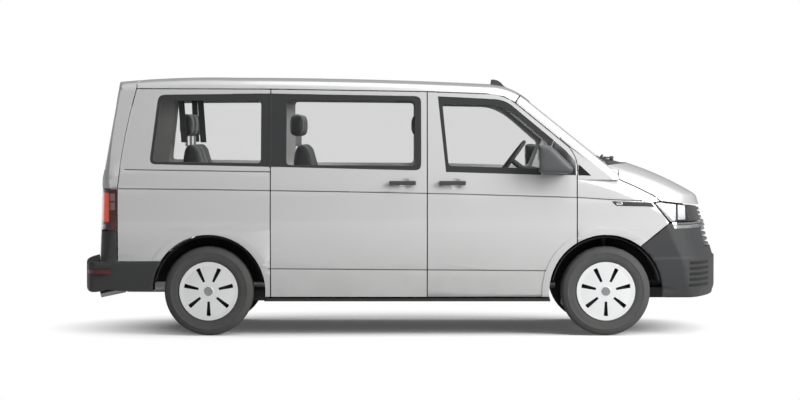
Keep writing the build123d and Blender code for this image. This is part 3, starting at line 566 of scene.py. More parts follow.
STEEL = Metal("coated_steel", (0.05, 0.05, 0.052), roughness=0.45, metallic=0.6)
IRON = Metal("cast_iron", (0.10, 0.10, 0.10), roughness=0.55, metallic=0.7)
EXHAUST = Metal("exhaust_steel", (0.32, 0.31, 0.30), roughness=0.35)
CHROME = Mirrored("bright_strip", (0.80, 0.81, 0.82))
SILVERED = Mirrored("mirror_glass", (0.72, 0.74, 0.76))
RUBBER = TyreRubber("tyre_rubber", (0.040, 0.040, 0.041))
HUB_DISC = Metal("hub_disc", (0.36, 0.365, 0.37), roughness=0.3)
# Darker paint laid on the bottoms of the body creases: painted shade in the grooves.
CREASE_SHADE_PAINT = CarPaint("crease_paint", (0.16, 0.16, 0.16))
COVER = WheelCover("wheel_lacquer", (0.78, 0.785, 0.79))
HEAD_LENS = Lens("lamp_lens", (0.05, 0.052, 0.054), alpha=0.10)
# Reflector colour near white: a painted reflection.
LAMP_FACE = LampFace("lamp_reflectors", (0.90, 0.91, 0.92))
RED_STRIP = Lens("red_reflector", (0.130, 0.009, 0.011), alpha=1.0, ribs=900.0, coat=0.0)
DAY_LAMP = Lens("indicator_lens", (0.24, 0.24, 0.235), alpha=1.0, ribs=500.0)
TAIL = TailLens("tail_lens", (0.62, 0.050, 0.030))
CLOTH = SeatCloth("seat_cloth", (0.020, 0.020, 0.022))
BELT = SeatCloth("belt_webbing", (0.022, 0.022, 0.024), thread=2600.0)

# Clear shapes of the panes in (x, z) or (y, z), and the black frames round them.
SLIDER_CLEAR = ((-0.869, 1.290), (0.101, 1.286), (0.101, 1.776), (-0.869, 1.786))
QUARTER_CLEAR = ((-1.878, 1.316), (-1.061, 1.304), (-1.061, 1.780), (-1.822, 1.776))
DOOR_CLEAR = (
    (0.356, 1.284), (1.036, 1.264), (1.112, 1.452), (0.838, 1.690), (0.716, 1.744), (0.310, 1.752),
)
SCREEN_CLEAR = ((-0.735, 1.352), (0.735, 1.352), (0.655, 1.775), (-0.655, 1.775))
REAR_CLEAR = ((-0.68, 1.245), (0.68, 1.245), (0.61, 1.755), (-0.61, 1.755))
SLIDER_FRAME = ((-1.300, 1.284), (0.149, 1.249), (0.149, 1.811), (-1.300, 1.836))
QUARTER_FRAME = ((-1.904, 1.296), (-0.700, 1.269), (-0.700, 1.833), (-1.840, 1.822))
PANE = (0.030, 0.034, 0.034)
FACING = {"windscreen": Vector((0.7, 0, 0.7)), "tailgate_glass": BACK}
# Creases pressed into the body side in (x, z), and how their faces are told apart.
WAIST = (
    (-2.136, 1.112), (-1.516, 1.106), (-0.387, 1.088), (0.366, 1.073),
    (1.043, 1.054), (1.325, 1.046), (1.581, 1.030), (1.890, 1.017),
)
RAIL = ((-2.090, 1.256), (-0.989, 1.238))
SILL = ((-1.049, 0.508), (1.103, 0.493))
CREASE_HALF = 0.007
CREASE_DEPTH = (0.0035, 0.0065)
ARCH_REACH, ARCH_DEPTH = 0.432, 0.012
INWARD, OUTWARD = -0.3, 0.9
# Material numbers of the inner finish, the painted crease shade and the arch sealant.
INNER_FACE, SHADED_CREASE_FACE, ARCH_FACE = 1, 2, 3
# Nodes that keep one finish all over.
PLAIN_PARTS = (
    (PLASTIC, Slot.PLASTIC, "cowl", "antenna"),
    (HANDLE, Slot.PLASTIC, "door_handle_left", "door_handle_right", "sliding_door_handle"),
    (GLOSS_BLACK, Slot.PLASTIC, "grille"),
    (LINER, Slot.UNDERBODY, "arch_liners"),
    (INTERIOR, Slot.STEEL, "door_posts"),
    (SEALANT, Slot.UNDERBODY, "floor_pan"),
    (STEEL, Slot.STEEL, "front_subframe", "rear_axle", "knuckle_left", "knuckle_right"),
    (EXHAUST, Slot.STEEL, "exhaust"),
    (IRON, Slot.IRON, "engine"),
    (SEALANT, Slot.TANK, "fuel_tank"),
)
# Radius and offset from the middle of a tyre's section, from bead to centre rib.
TYRE_HALF = (
    (0.2063, 0.084), (0.212, 0.092), (0.224, 0.094), (0.232, 0.098), (0.262, 0.1022),
    (0.286, 0.1015), (0.289, 0.1028), (0.293, 0.1012), (0.312, 0.096), (0.324, 0.089),
    (0.332, 0.079), (0.3350, 0.068), (0.3354, 0.060), (0.3290, 0.058), (0.3290, 0.052),
    (0.3366, 0.050), (0.3368, 0.024), (0.3300, 0.022), (0.3300, 0.015), (0.3372, 0.013),
)


class Bench:
    """Modelling tools, each working on one new object."""

    nodes: dict[str, Piece] = {}
    trees: dict[str, BVHTree] = {}

    @staticmethod
    def idle() -> None:
        """Leave edit mode and deselect everything."""
        if bpy.context.object and bpy.context.object.mode != "OBJECT":
            bpy.ops.object.mode_set(mode="OBJECT")
        bpy.ops.object.select_all(action="DESELECT")

    @staticmethod
    def pick(piece: Piece) -> None:
        """Make one object the only selected and active one."""
        Bench.idle()
        piece.select_set(True)
        bpy.context.view_layer.objects.active = piece

    @staticmethod
    def edit(piece: Piece, select: str = "SELECT") -> None:
        """Enter edit mode on one object with everything selected or not."""
        Bench.pick(piece)
        bpy.ops.object.mode_set(mode="EDIT")
        bpy.ops.mesh.select_all(action=select)

    @staticmethod
    def smooth(piece: Piece, angle: float = 30.0) -> None:
        """Shade smooth below an angle in degrees."""
        Bench.pick(piece)
        bpy.ops.object.shade_smooth_by_angle(angle=math.radians(angle))

    @staticmethod
    def bake(piece: Piece, kind: str, **settings: float | int | str | bool) -> None:
        """Add one modifier with settings and apply it."""
        Bench.pick(piece)
        modifier = piece.modifiers.new(kind.lower(), kind)
        for key, value in settings.items():
            setattr(modifier, key, value)
        bpy.ops.object.modifier_apply(modifier=modifier.name)

    @staticmethod
    def ring(name: str, points: list[Vector]) -> Piece:
        """Closed polygon through points, from a circle primitive."""
        Bench.idle()
        bpy.ops.mesh.primitive_circle_add(vertices=len(points), radius=1.0)
        piece = bpy.context.object
        piece.name = name
        for vertex, point in zip(piece.data.vertices, points):
            vertex.co = point
        return piece

    @staticmethod
    def lathe(
        name: str, profile: list[Point], centre: Vector, axis: Vector, steps: int = 64
    ) -> Piece:
        """Closed profile spun round an axis.

        Args:
            name: Name of the piece.
            profile: Radius and place along the axis of each corner, in metres.
            centre: Point on the axis.
            axis: Direction of the axis.
            steps: Number of spin steps.

        Returns:
            The new object.
        """
        axis = axis.normalized()
        out = axis.orthogonal().normalized()
        piece = Bench.ring(name, [centre + out * r + axis * a for r, a in profile])
        Bench.edit(piece)
        bpy.ops.mesh.spin(steps=steps, angle=math.tau, center=centre, axis=axis)
        bpy.ops.mesh.select_all(action="SELECT")
        bpy.ops.mesh.remove_doubles(threshold=0.00002)
        bpy.ops.mesh.normals_make_consistent(inside=False)
        Bench.smooth(piece)
        return piece

    @staticmethod
    def prism(name: str, points: list[Vector], along: Vector, bevel: float = 0.0) -> Piece:
        """Polygon filled and extruded, with soft edges where asked."""
        piece = Bench.ring(name, points)
        Bench.edit(piece)
        bpy.ops.mesh.edge_face_add()
        bpy.ops.mesh.extrude_region_move(TRANSFORM_OT_translate={"value": along})
        bpy.ops.mesh.select_all(action="SELECT")
        bpy.ops.mesh.normals_make_consistent(inside=False)
        if bevel:
            Bench.bake(piece, "BEVEL", width=bevel, segments=2, limit_method="ANGLE")
        Bench.smooth(piece)
        return piece

    @staticmethod
    def block(name: str, low: tuple, high: tuple, bevel: float, segments: int = 3) -> Piece:
        """Rounded block between two corners."""
        low, high = Vector(low), Vector(high)
        Bench.idle()
        bpy.ops.mesh.primitive_cube_add(size=1.0, location=(low + high) / 2)
        piece = bpy.context.object
        piece.name = name
        piece.scale = high - low
        bpy.ops.object.transform_apply(location=True, rotation=True, scale=True)
        Bench.edit(piece)
        bpy.ops.mesh.bevel(offset=bevel, segments=segments, affect="EDGES")
        Bench.smooth(piece, 50.0)
        return piece

    @staticmethod
    def rod(name: str, start: Vector, end: Vector, radius: float) -> Piece:
        """Round bar with eased ends between two points."""
        along = end - start
        length, rim, ease = along.length, radius * 0.8, radius * 0.3
        profile = [(0.0, 0.0), (rim, 0.0), (radius, ease)]
        profile += [(radius, length - ease), (rim, length), (0.0, length)]
        return Bench.lathe(name, profile, start, along, 16)

    @staticmethod
    def plate(
        name: str, outline: tuple[Point, ...], proud: float, thick: float, bevel: float = 0.0
    ) -> Piece:
        """Plate on the right side of the body.

        Args:
            name: Name of the piece.
            outline: Its corners (x, z).
            proud: Distance of its outer face from the body side.
            thick: Thickness.
            bevel: Width of its soft edges.

        Returns:
            The new object.
        """
        corners = [Vector((x, -side_y(z) - proud, z)) for x, z in outline]
        return Bench.prism(name, corners, ACROSS * thick, bevel)

    @staticmethod
    def place(name: str, data: bpy.types.ID) -> Piece:
        """New object of the scene that holds some data."""
        holder = bpy.data.objects.new(name, data)
        bpy.context.scene.collection.objects.link(holder)
        return holder

    @staticmethod
    def fuse(name: str, pieces: list[Piece]) -> Piece:
        """Join several objects into the first one."""
        Bench.idle()
        for piece in pieces:
            piece.select_set(True)
        bpy.context.view_layer.objects.active = pieces[0]
        bpy.ops.object.join()
        pieces[0].name = name
        return pieces[0]

    @staticmethod
    def twin(name: str, piece: Piece) -> Piece:
        """Mirror image on the other side, with its own mesh."""
        other = Bench.place(name, piece.data.copy())
        other.data.transform(Matrix.Scale(-1.0, 4, ACROSS))
        other.data.flip_normals()
        return other

    @staticmethod
    def drop(node: str, x: float, y: float) -> float:
        """Height of a node's upper surface at a place."""
        if node not in Bench.trees:
            mesh = Bench.nodes[node].data
            Bench.trees[node] = BVHTree.FromPolygons(
                [v.co for v in mesh.vertices], [p.vertices[:] for p in mesh.polygons]
            )
        hit = Bench.trees[node].ray_cast(Vector((x, y, 3.0)), -UP)
        return hit[0].z if hit[0] else 0.0

    @staticmethod
    def keep(
        piece: Piece, body: str, finish: Finish, slot: Slot, *nodes: str
    ) -> Piece:
        """Finish a piece and put it on its body.

        Args:
            piece: The object.
            body: Body that carries it.
            finish: Its finish.
            slot: Record slot that the finish stands for; not used.
            nodes: CAD nodes that it replaces.

        Returns:
            The same object.
        """
        Bench.idle()
        if not piece.data.materials:
            piece.data.materials.append(finish.material())
        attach(piece, body)
        if nodes:
            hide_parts(*nodes)
        LOG.info("%s on %s in %s", piece.name, body, finish.name)
        return piece

    @staticmethod
    def pair(
        piece: Piece,
        finish: Finish,
        slot: Slot,
        bodies: tuple[str, str] = ("body", "body"),
    ) -> None:
        """Keep a piece and its mirror image.

        Args:
            piece: The object, whose name ends in its side.
            finish: Finish of both.
            slot: Record slot of both, passed on to keep, which does not use it.
            bodies: Bodies of the piece and of its image.
        """
        stem, side = piece.name.rsplit("_", 1)
        image = Bench.twin(f"{stem}_{'left' if side == 'right' else 'right'}", piece)
        for half, body in zip((piece, image), bodies):
            Bench.keep(half, body, finish, slot)

    @staticmethod
    def round_off(
        piece: Piece, voxel: float, rounds: int, low: Vector, high: Vector
    ) -> None:
        """Ease the edges of a closed piece inside a box.

        Args:
            piece: Closed piece.
            voxel: Remesh size in metres.
            rounds: Number of smoothing rounds.
            low: Lower corner of the box.
            high: Upper corner of the box.
        """
        Bench.bake(piece, "REMESH", mode="VOXEL", voxel_size=voxel)
        group = piece.vertex_groups.new(name="eased")
        for vertex in piece.data.vertices:
            if all(a < c < b for a, c, b in zip(low, vertex.co, high)):
                group.add([vertex.index], 1.0, "REPLACE")
        Bench.bake(piece, "SMOOTH", factor=0.5, iterations=rounds, vertex_group=group.name)
        piece.vertex_groups.clear()

    @staticmethod
    def skin(
        node: str,
        finish: Finish,
        slot: Slot,
        inner: Finish | None = None,
        outward: Vector = ACROSS,
        shrink: float = 0.0,
        eased: tuple[float, int, Vector, Vector] | None = None,
    ) -> Piece:
        """Smooth copy of a CAD node in a finish.

        Args:
            node: Name of the CAD node.
            finish: Finish of its outer faces.
            slot: Record slot, passed on to keep, which does not use it.
            inner: Finish of the faces that look inward.
            outward: Direction that the panel faces, on either side for y.
            shrink: Amount by which the copy is drawn in.
            eased: Remesh size, smoothing rounds and box in which edges are eased.

        Returns:
            The new object.
        """
        source = Bench.nodes[node]
        piece = Bench.place(f"{node}_skin", source.data.copy())
        piece.data.materials.clear()
        piece.data.materials.append(finish.material())
        Bench.edit(piece)
        bpy.ops.mesh.remove_doubles(threshold=WELD)
        bpy.ops.mesh.dissolve_degenerate(threshold=0.0001)
        if shrink:
            bpy.ops.transform.shrink_fatten(value=-shrink)
        Bench.idle()
        if eased:
            Bench.round_off(piece, *eased)
        if inner:
            # Inward faces take the inner finish, crease bottoms a darker paint as painted shade, and
            # arch edges the sealant.
            for lining in (inner, CREASE_SHADE_PAINT, SEALANT):
                piece.data.materials.append(lining.material())
            for face in piece.data.polygons:
                side = math.copysign(1.0, face.center.y) if outward.y else 1.0
                facing = side * face.normal.dot(outward)
                depth = side_y(face.center.z) - abs(face.center.y)
                sunk = CREASE_DEPTH[0] < depth < CREASE_DEPTH[1]
                if facing < INWARD:
                    face.material_index = INNER_FACE
                # Crease bottoms: darker paint as painted shade in the groove.
                elif sunk and facing > OUTWARD and on_crease(face.center):
                    face.material_index = SHADED_CREASE_FACE
                elif depth > ARCH_DEPTH and in_arch(face.center):
                    face.material_index = ARCH_FACE
        Bench.smooth(piece, 40.0 if eased else 28.0)
        Bench.bake(piece, "WEIGHTED_NORMAL", keep_sharp=True)
        return Bench.keep(piece, source["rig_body"], finish, slot, node)


def side_y(z: float) -> float:
    """Half width of the body side at a height, in metres."""
    if z >= BELT_Z:
        return BELT_Y - (z - BELT_Z) * BAND_LEAN
    rise = (z - WIDEST_Z) / (BELT_Z - WIDEST_Z)
    if rise > 0:
        return WIDEST_Y - (WIDEST_Y - BELT_Y) * rise * rise
    fall = (WIDEST_Z - z) / SILL_DROP
    return WIDEST_Y - SILL_TUCK * fall * fall


def in_arch(place: Vector) -> bool:
    """Whether a place lies in the edge of a wheel arch."""
    return min(math.hypot(place.x - x, place.z - WHEEL_Z) for x in AXLES) < ARCH_REACH


def on_crease(place: Vector) -> bool:
    """Whether a place on the body side lies on one of its creases."""
    for line in (WAIST, RAIL, SILL):
        for (x0, z0), (x1, z1) in zip(line, line[1:]):
            if x0 <= place.x <= x1:
                height = place.z - z0 - (z1 - z0) * (place.x - x0) / (x1 - x0)
                if abs(height) < CREASE_HALF:
                    return True
    return False


@dataclass
class Plan:
    """Rounded plan of the nose or tail at one height."""

    tip: float
    radius: float
    corner: float
    sign: int
    half: float = 0.952

    def points(self, lead: float, end_y: float, grow: float) -> list[Point]:
        """Points from the side round the corner to a width.

        Args:
            lead: Straight side before the corner, or below zero, the corner left out.
            end_y: Width at which the run stops.
            grow: Distance outside the plan.

        Returns:
            Points (x, y) on the left side.
        """
        middle = self.tip - self.sign * self.radius
        fillet_y = self.half - self.corner
        fillet_x = middle + self.sign * math.sqrt((self.radius - self.corner) ** 2 - fillet_y**2)
        turn = math.atan2(self.sign * (fillet_x - middle), fillet_y)
        run = [(fillet_x - self.sign * lead, self.half + grow)] if lead > 0 else []
        for i in range(13):
            angle = math.pi / 2 - turn * i / 12
            reach = self.corner + grow
            x = fillet_x + self.sign * reach * math.cos(angle)
            run.append((x, fillet_y + reach * math.sin(angle)))
        face_angle = math.pi / 2 - turn
        end_angle = math.asin(end_y / self.radius)
        for i in range(1, 17):
            angle = face_angle + (end_angle - face_angle) * i / 16
            reach = self.radius + grow
            run.append((middle + self.sign * reach * math.cos(angle), reach * math.sin(angle)))
        if lead < 0:
            run = [place for place in run if self.sign * (place[0] - fillet_x) > -lead]
        return run

    def strip(
        self,
        name: str,
        run: Point,
        heights: Point,
        proud: float,
        thick: float,
        lean: float = 0.0,
    ) -> Piece:
        """Band that follows the plan on the left side.

        Args:
            name: Name of the piece.
            run: Lead before the corner and width at which the band stops.
            heights: Its lower and upper edge.
            proud: Distance of its outer face from the plan.
            thick: Thickness.
            lean: Slope of the band towards the cabin.

        Returns:
            The new object.
        """
        (lead, end_y), (low, high) = run, heights
        outer = self.points(lead, end_y, proud)
        inner = self.points(lead, end_y, proud - thick)
        corners = [Vector((x, y, low)) for x, y in outer + inner[::-1]]
        return Bench.prism(name, corners, Vector((-lean * (high - low), 0.0, high - low)))


NOSE = Plan(2.452, 1.9, 0.28, 1)
STERN = Plan(-2.452, 4.5, 0.12, -1)


@dataclass
class Studio:
    """Floor, backdrop, light and camera."""

    camera_place: tuple[float, float, float] = (-0.011, -20.90, 1.535)
    camera_pitch: float = 1.457
    lens: float = 119.25

    def build(self) -> None:
        """Build the set."""
        self.floor()
        self.lights()
        self.camera()

    def floor(self) -> None:
        """Pale floor that keeps the shadow."""
        Bench.idle()
        bpy.ops.mesh.primitive_plane_add(size=120.0, location=(0, 0, 0))
        floor = bpy.context.object
        floor.name = "floor"
        nodes = FinishNodes("studio_floor")
        x, y, _ = nodes.axes()
        reach = (x * x * 0.11 + y * y * 0.22).root()
        rays = nodes.add("ShaderNodeLightPath").socket.node.outputs
        seen = Value(nodes.tree, rays["Is Camera Ray"])
        for kind in ("Is Glossy Ray", "Is Transmission Ray"):
            seen = seen.most(Value(nodes.tree, rays[kind]))
        tone = nodes.blend(seen, (0.26, 0.26, 0.26), (0.95, 0.95, 0.95))
        nodes.wire({"Base Color": tone, "Roughness": 0.9, "Specular IOR Level": 0.0})
        white = {"Color": (1.0, 1.0, 1.0, 1.0), "Strength": 1.0}
        glow = nodes.add("ShaderNodeEmission", inputs=white)
        matte = Value(nodes.tree, nodes.shader.outputs[0])
        away = (reach.over(0.76, 0.34) * 0.93 + 0.07) * seen
        mixed = nodes.add("ShaderNodeMixShader", inputs={0: away, 1: matte, 2: glow})
        output = next(n for n in nodes.tree.nodes if n.type == "OUTPUT_MATERIAL")
        nodes.tree.links.new(mixed.socket, output.inputs["Surface"])
        floor.data.materials.append(nodes.material)

    def lights(self) -> None:
        """Even white surroundings, three soft boxes and a faint lamp in the cabin."""
        world = bpy.data.worlds.new("studio_world")
        bpy.context.scene.world = world
        world.use_nodes = True
        tree = world.node_tree
        back = tree.nodes["Background"]
        path = tree.nodes.new("ShaderNodeLightPath")
        seen = Value(tree, path.outputs["Is Camera Ray"])
        seen = seen.most(Value(tree, path.outputs["Is Transmission Ray"]))
        strength = 0.29 + seen * 0.71
        back.inputs["Color"].default_value = (1.0, 1.0, 1.0, 1.0)
        tree.links.new(strength.socket, back.inputs["Strength"])
        boxes = (
            ("soft_box_top", (2.4, 0.0, 8.0), (1.0, 0.0, 0.8), 8.0, 480.0),
            ("soft_box_front", (7.0, -6.0, 4.4), (1.4, -0.5, 0.8), 5.0, 900.0),
            ("cabin_fill", (-1.0, 0.0, 1.78), (-1.0, 0.0, 0.8), 1.2, 11.0),
            ("soft_box_side", (3.0, -9.0, 10.0), (0.8, -0.5, 0.9), 5.0, 300.0),
        )
        for name, place, aim, size, power in boxes:
            light = bpy.data.lights.new(name, "AREA")
            light.shape = "SQUARE"
            light.size = size
            light.energy = power
            holder = Bench.place(name, light)
            holder.location = place
            aimed = (Vector(aim) - Vector(place)).to_track_quat("-Z", "Y")
            holder.rotation_euler = aimed.to_euler()
            holder.visible_camera = False

    def camera(self) -> None:
        """Long lens level with the windows, looking at the right side."""
        eye = bpy.data.cameras.new("camera")
        eye.sensor_width = 36.0
        eye.sensor_fit = "HORIZONTAL"
        eye.lens = self.lens
        eye.clip_end = 200.0
        holder = Bench.place("camera", eye)
        holder.location = self.camera_place
        holder.rotation_euler = (math.radians(90.0 - self.camera_pitch), 0.0, 0.0)
        bpy.context.scene.camera = holder
        bpy.context.scene.view_settings.view_transform = "Standard"


@dataclass
class BodyShell:
    """Painted panels, plastic panels and the underbody."""

    sides: tuple[str, ...] = (
        "sliding_door",
        "quarter_panel_right",
        "side_panel_left",
        "front_door_right",
        "front_door_left",
    )

    def build(self) -> None:
        """Dress every panel."""
        for node in self.sides:
            Bench.skin(node, PAINT, Slot.PAINT, LINING)
        Bench.skin("a_pillars", PAINT, Slot.PAINT)
        Bench.skin("wings", PAINT, Slot.PAINT, SEALANT)
        Bench.skin("roof", PAINT, Slot.PAINT, LINING, UP)
        Bench.skin("bonnet", PAINT, Slot.PAINT, SEALANT, UP)
        Bench.skin("tailgate", PAINT, Slot.PAINT, LINING, BACK)
        low_nose = (0.009, 30, Vector((2.02, -2, 0)), Vector((3, 2, 0.50)))
        tail_step = (0.009, 24, Vector((-3, -2, 0)), Vector((-2.15, 2, 0.60)))
        pod = (0.006, 200, Vector((0, -2, 0)), Vector((3, 2, 3)))
        Bench.skin("front_bumper", PLASTIC, Slot.PLASTIC, eased=low_nose)
        Bench.skin("rear_bumper", PLASTIC, Slot.PLASTIC, eased=tail_step)
        for node in ("mirror_left", "mirror_right"):
            Bench.skin(node, MIRROR_CASE, Slot.PLASTIC, eased=pod)
        for finish, slot, *nodes in PLAIN_PARTS:
            for node in nodes:
                Bench.skin(node, finish, slot)
        self.mirror_parts()
        self.wing_strip()
        self.seals()
        self.bumper_parts()

    def seals(self) -> None:
        """Black strips that carry the window band over the sliding door's shut line."""
        for number, (near, far) in enumerate(((-0.9970, -0.9895), (-0.9885, -0.9810))):
            outline = ((near, 1.270), (far, 1.270), (far, 1.834), (near, 1.834))
            strip = Bench.plate(f"band_strip_{number}", outline, 0.0008, 0.012)
            Bench.keep(strip, "body", FRIT, Slot.PLASTIC)

    def bumper_parts(self) -> None:
        """Rear bumper step, slots in the front corners, arch seals and rear wheel flaps."""
        half = ((-2.170, 0.905), (-2.270, 0.905), (-2.330, 0.870), (-2.352, 0.800), (-2.404, 0.400))
        outline = list(half) + [(x, -y) for x, y in reversed(half)]
        corners = [Vector((x, y, 0.534)) for x, y in outline]
        step = Bench.prism("bumper_step", corners, UP * 0.021, 0.003)
        Bench.keep(step, "body", PLASTIC, Slot.PLASTIC)
        for number, z in enumerate((0.372, 0.414, 0.456, 0.498, 0.540)):
            name = f"corner_slot_{number}_left"
            vent = NOSE.strip(name, (-0.13, 0.62), (z, z + 0.022), 0.0015, 0.010)
            Bench.pair(vent, LINER, Slot.PLASTIC)
        arc = [math.radians(12.0 + 6.0 * i) for i in range(27)]
        ring = [(0.412, a) for a in arc] + [(0.404, a) for a in reversed(arc)]
        for end, x, outer in zip(("front", "rear"), AXLES, (0.922, 0.884)):
            rim = [Vector((x + r * math.cos(a), -outer, WHEEL_Z + r * math.sin(a))) for r, a in ring]
            seal = Bench.prism(f"{end}_arch_seal_right", rim, ACROSS * (outer - 0.850))
            Bench.pair(seal, LINER, Slot.UNDERBODY)
        for name, low_x, high_x, low_z, high_z in (
            ("rear_flap", -1.900, -1.884, 0.335, 0.540),
            ("rear_guard", -1.034, -1.018, 0.270, 0.520),
        ):
            low, high = (low_x, -0.880, low_z), (high_x, -0.640, high_z)
            Bench.pair(Bench.block(f"{name}_right", low, high, 0.004), LINER, Slot.UNDERBODY)

    def mirror_parts(self) -> None:
        """Silvered glasses and the black triangles at the mirror feet."""
        doors = ("door_right", "door_left")
        low, high = (1.024, -1.112, 1.272), (1.038, -1.016, 1.398)
        glass = Bench.block("mirror_pane_right", low, high, 0.0035, 2)
        Bench.pair(glass, SILVERED, Slot.GLASS, doors)
        door_part = ((1.062, 1.222), (1.152, 1.474), (1.240, 1.400), (1.314, 1.318), (1.316, 1.214))
        wing_part = ((1.335, 1.213), (1.335, 1.296), (1.352, 1.284), (1.432, 1.211))
        for name, outline, bodies in (
            ("sail", door_part, doors),
            ("sail_tip", wing_part, ("body", "body")),
        ):
            sail = Bench.plate(f"{name}_right", outline, 0.0015, 0.006, 0.001)
            Bench.pair(sail, GLOSS_BLACK, Slot.PLASTIC, bodies)

    def wing_strip(self) -> None:
        """Dark strip with a bare bright plate on each wing."""
        strip_outline = ((1.620, 0.984), (1.904, 0.978), (1.880, 1.008), (1.586, 1.018))
        plate_outline = ((1.622, 0.991), (1.668, 0.990), (1.660, 1.010), (1.612, 1.011))
        for name, outline, proud, finish in (
            ("wing_strip", strip_outline, 0.003, PLASTIC),
            ("wing_plate", plate_outline, 0.005, CHROME),
        ):
            right = Bench.plate(f"{name}_right", outline, proud, 0.008, 0.0012)
            Bench.pair(right, finish, Slot.PLASTIC)


@dataclass
class Windows:
    """Panes with black printed borders."""

    def build(self) -> None:
        """Dress every pane."""
        slider = PaneGlass("sliding_pane", PANE, (SLIDER_CLEAR,), (SLIDER_FRAME,))
        frames = (SLIDER_FRAME, QUARTER_FRAME)
        sides = PaneGlass("side_panes", PANE, (SLIDER_CLEAR, QUARTER_CLEAR), frames)
        door = PaneGlass("door_pane", PANE, (DOOR_CLEAR,))
        screen = PaneGlass("screen_pane", PANE, (SCREEN_CLEAR,), across="y", corner=0.06)
        rear = PaneGlass("rear_pane", PANE, (REAR_CLEAR,), across="y", corner=0.06)
        for node, finish in (
            ("sliding_door_glass", slider),
            ("side_glass", sides),
            ("front_door_glass_right", door),
            ("front_door_glass_left", door),
            ("windscreen", screen),
            ("tailgate_glass", rear),
        ):
            inside = f"{finish.name}_inside"
            lined = replace(finish, name=inside, border=LINING.colour, frame=())
            Bench.skin(node, finish, Slot.GLASS, lined, FACING.get(node, ACROSS))


@dataclass
class Wheels:
    """Tyres with tread, lacquered covers and blank hub discs."""

    track_y: float = 0.814
    steps: int = 96

    def build(self) -> None:
        """Make a tyre and a hub disc for each axle, mirror them and dress the rims."""
        profile = [(0.0, 0.0), (0.031, 0.0), (0.034, 0.002), (0.034, 0.006), (0.0, 0.006)]
        for end, x in zip(("front", "rear"), AXLES):
            tyre = self.tyre(f"tyre_{end}_right_tread", x)
            tyres = {"right": tyre, "left": Bench.twin(f"tyre_{end}_left_tread", tyre)}
            for side, piece in tyres.items():
                wheel = f"road_wheel_{end}_{side}"
                Bench.keep(piece, wheel, RUBBER, Slot.TYRE, f"tyre_{end}_{side}")
            hub = Vector((x, -HUB_FACE - 0.002, WHEEL_Z))
            disc = Bench.lathe(f"hub_disc_{end}_right", profile, hub, ACROSS, 40)
            discs = {"right": disc, "left": Bench.twin(f"hub_disc_{end}_left", disc)}
            for side, piece in discs.items():
                Bench.skin(f"wheel_{end}_{side}", COVER, Slot.COVER)
                Bench.keep(piece, f"road_wheel_{end}_{side}", HUB_DISC, Slot.COVER)

    def tyre(self, name: str, x: float) -> Piece:
        """Tyre on the right side with ribs, grooves and cross cuts."""
        profile = list(TYRE_HALF) + [(r, -a) for r, a in reversed(TYRE_HALF)]
        centre = Vector((x, -self.track_y, WHEEL_Z))
        piece = Bench.lathe(name, profile, centre, ACROSS, self.steps)
        Bench.edit(piece, "DESELECT")
        Bench.idle()
        for face in piece.data.polygons:
            spoke = face.center - centre
            across = abs(spoke.y)
            radius = math.hypot(spoke.x, spoke.z)
            turn = int((math.atan2(spoke.z, spoke.x) + math.tau) / math.tau * self.steps)
            shift = 1 if 0.024 < across < 0.05 else 0
            face.select = radius > 0.333 and across > 0.02 and (turn + shift) % 3 == 0
        Bench.pick(piece)
        bpy.ops.object.mode_set(mode="EDIT")
        bpy.ops.mesh.select_mode(type="FACE")
        bpy.ops.mesh.inset(thickness=0.004, depth=-0.005, use_individual=True)
        bpy.ops.mesh.select_mode(type="VERT")
        Bench.smooth(piece, 35.0)
        return piece


@dataclass
class Lamps:
    """Head lamps, tail lamps, reflectors and the bright front strips."""

    def build(self) -> None:
        """Dress the lamps."""
        housing = Bench.skin("headlamps", LAMP_FACE, Slot.HEADLAMP, shrink=0.005)
        housing.name = "headlamp_housing"
        lens = Bench.place("headlamp_lens", Bench.nodes["headlamps"].data.copy())
        lens.data.materials.clear()
        Bench.edit(lens)
        bpy.ops.mesh.remove_doubles(threshold=WELD)
        Bench.smooth(lens)
        Bench.keep(lens, "body", HEAD_LENS, Slot.HEADLAMP)
        Bench.skin("tail_lamps", TAIL, Slot.TAIL_LAMP)
        self.front_strips()
        self.reflectors()

    def front_strips(self) -> None:
        """Bright strips across the nose and the day lamps below them."""
        for name, heights, run, proud, finish, slot in (
            ("nose_strip", (0.842, 0.856), (-0.09, 0.0), 0.004, CHROME, Slot.PLASTIC),
            ("day_lamp", (0.812, 0.836), (-0.10, 0.60), 0.003, DAY_LAMP, Slot.HEADLAMP),
            ("nose_strip_low", (0.815, 0.829), (-0.24, 0.0), 0.004, CHROME, Slot.PLASTIC),
        ):
            plan = replace(NOSE, tip=NOSE_FOOT_X - (heights[0] - NOSE_FOOT_Z) * NOSE_LEAN)
            left = plan.strip(f"{name}_left", run, heights, proud, 0.014, NOSE_LEAN)
            Bench.pair(left, finish, slot)

    def reflectors(self) -> None:
        """Red strips in the rear bumper's corners."""
        left = STERN.strip("rear_reflector_left", (0.06, 0.80), (0.470, 0.498), 0.0015, 0.010)
        Bench.pair(left, RED_STRIP, Slot.TAIL_LAMP)


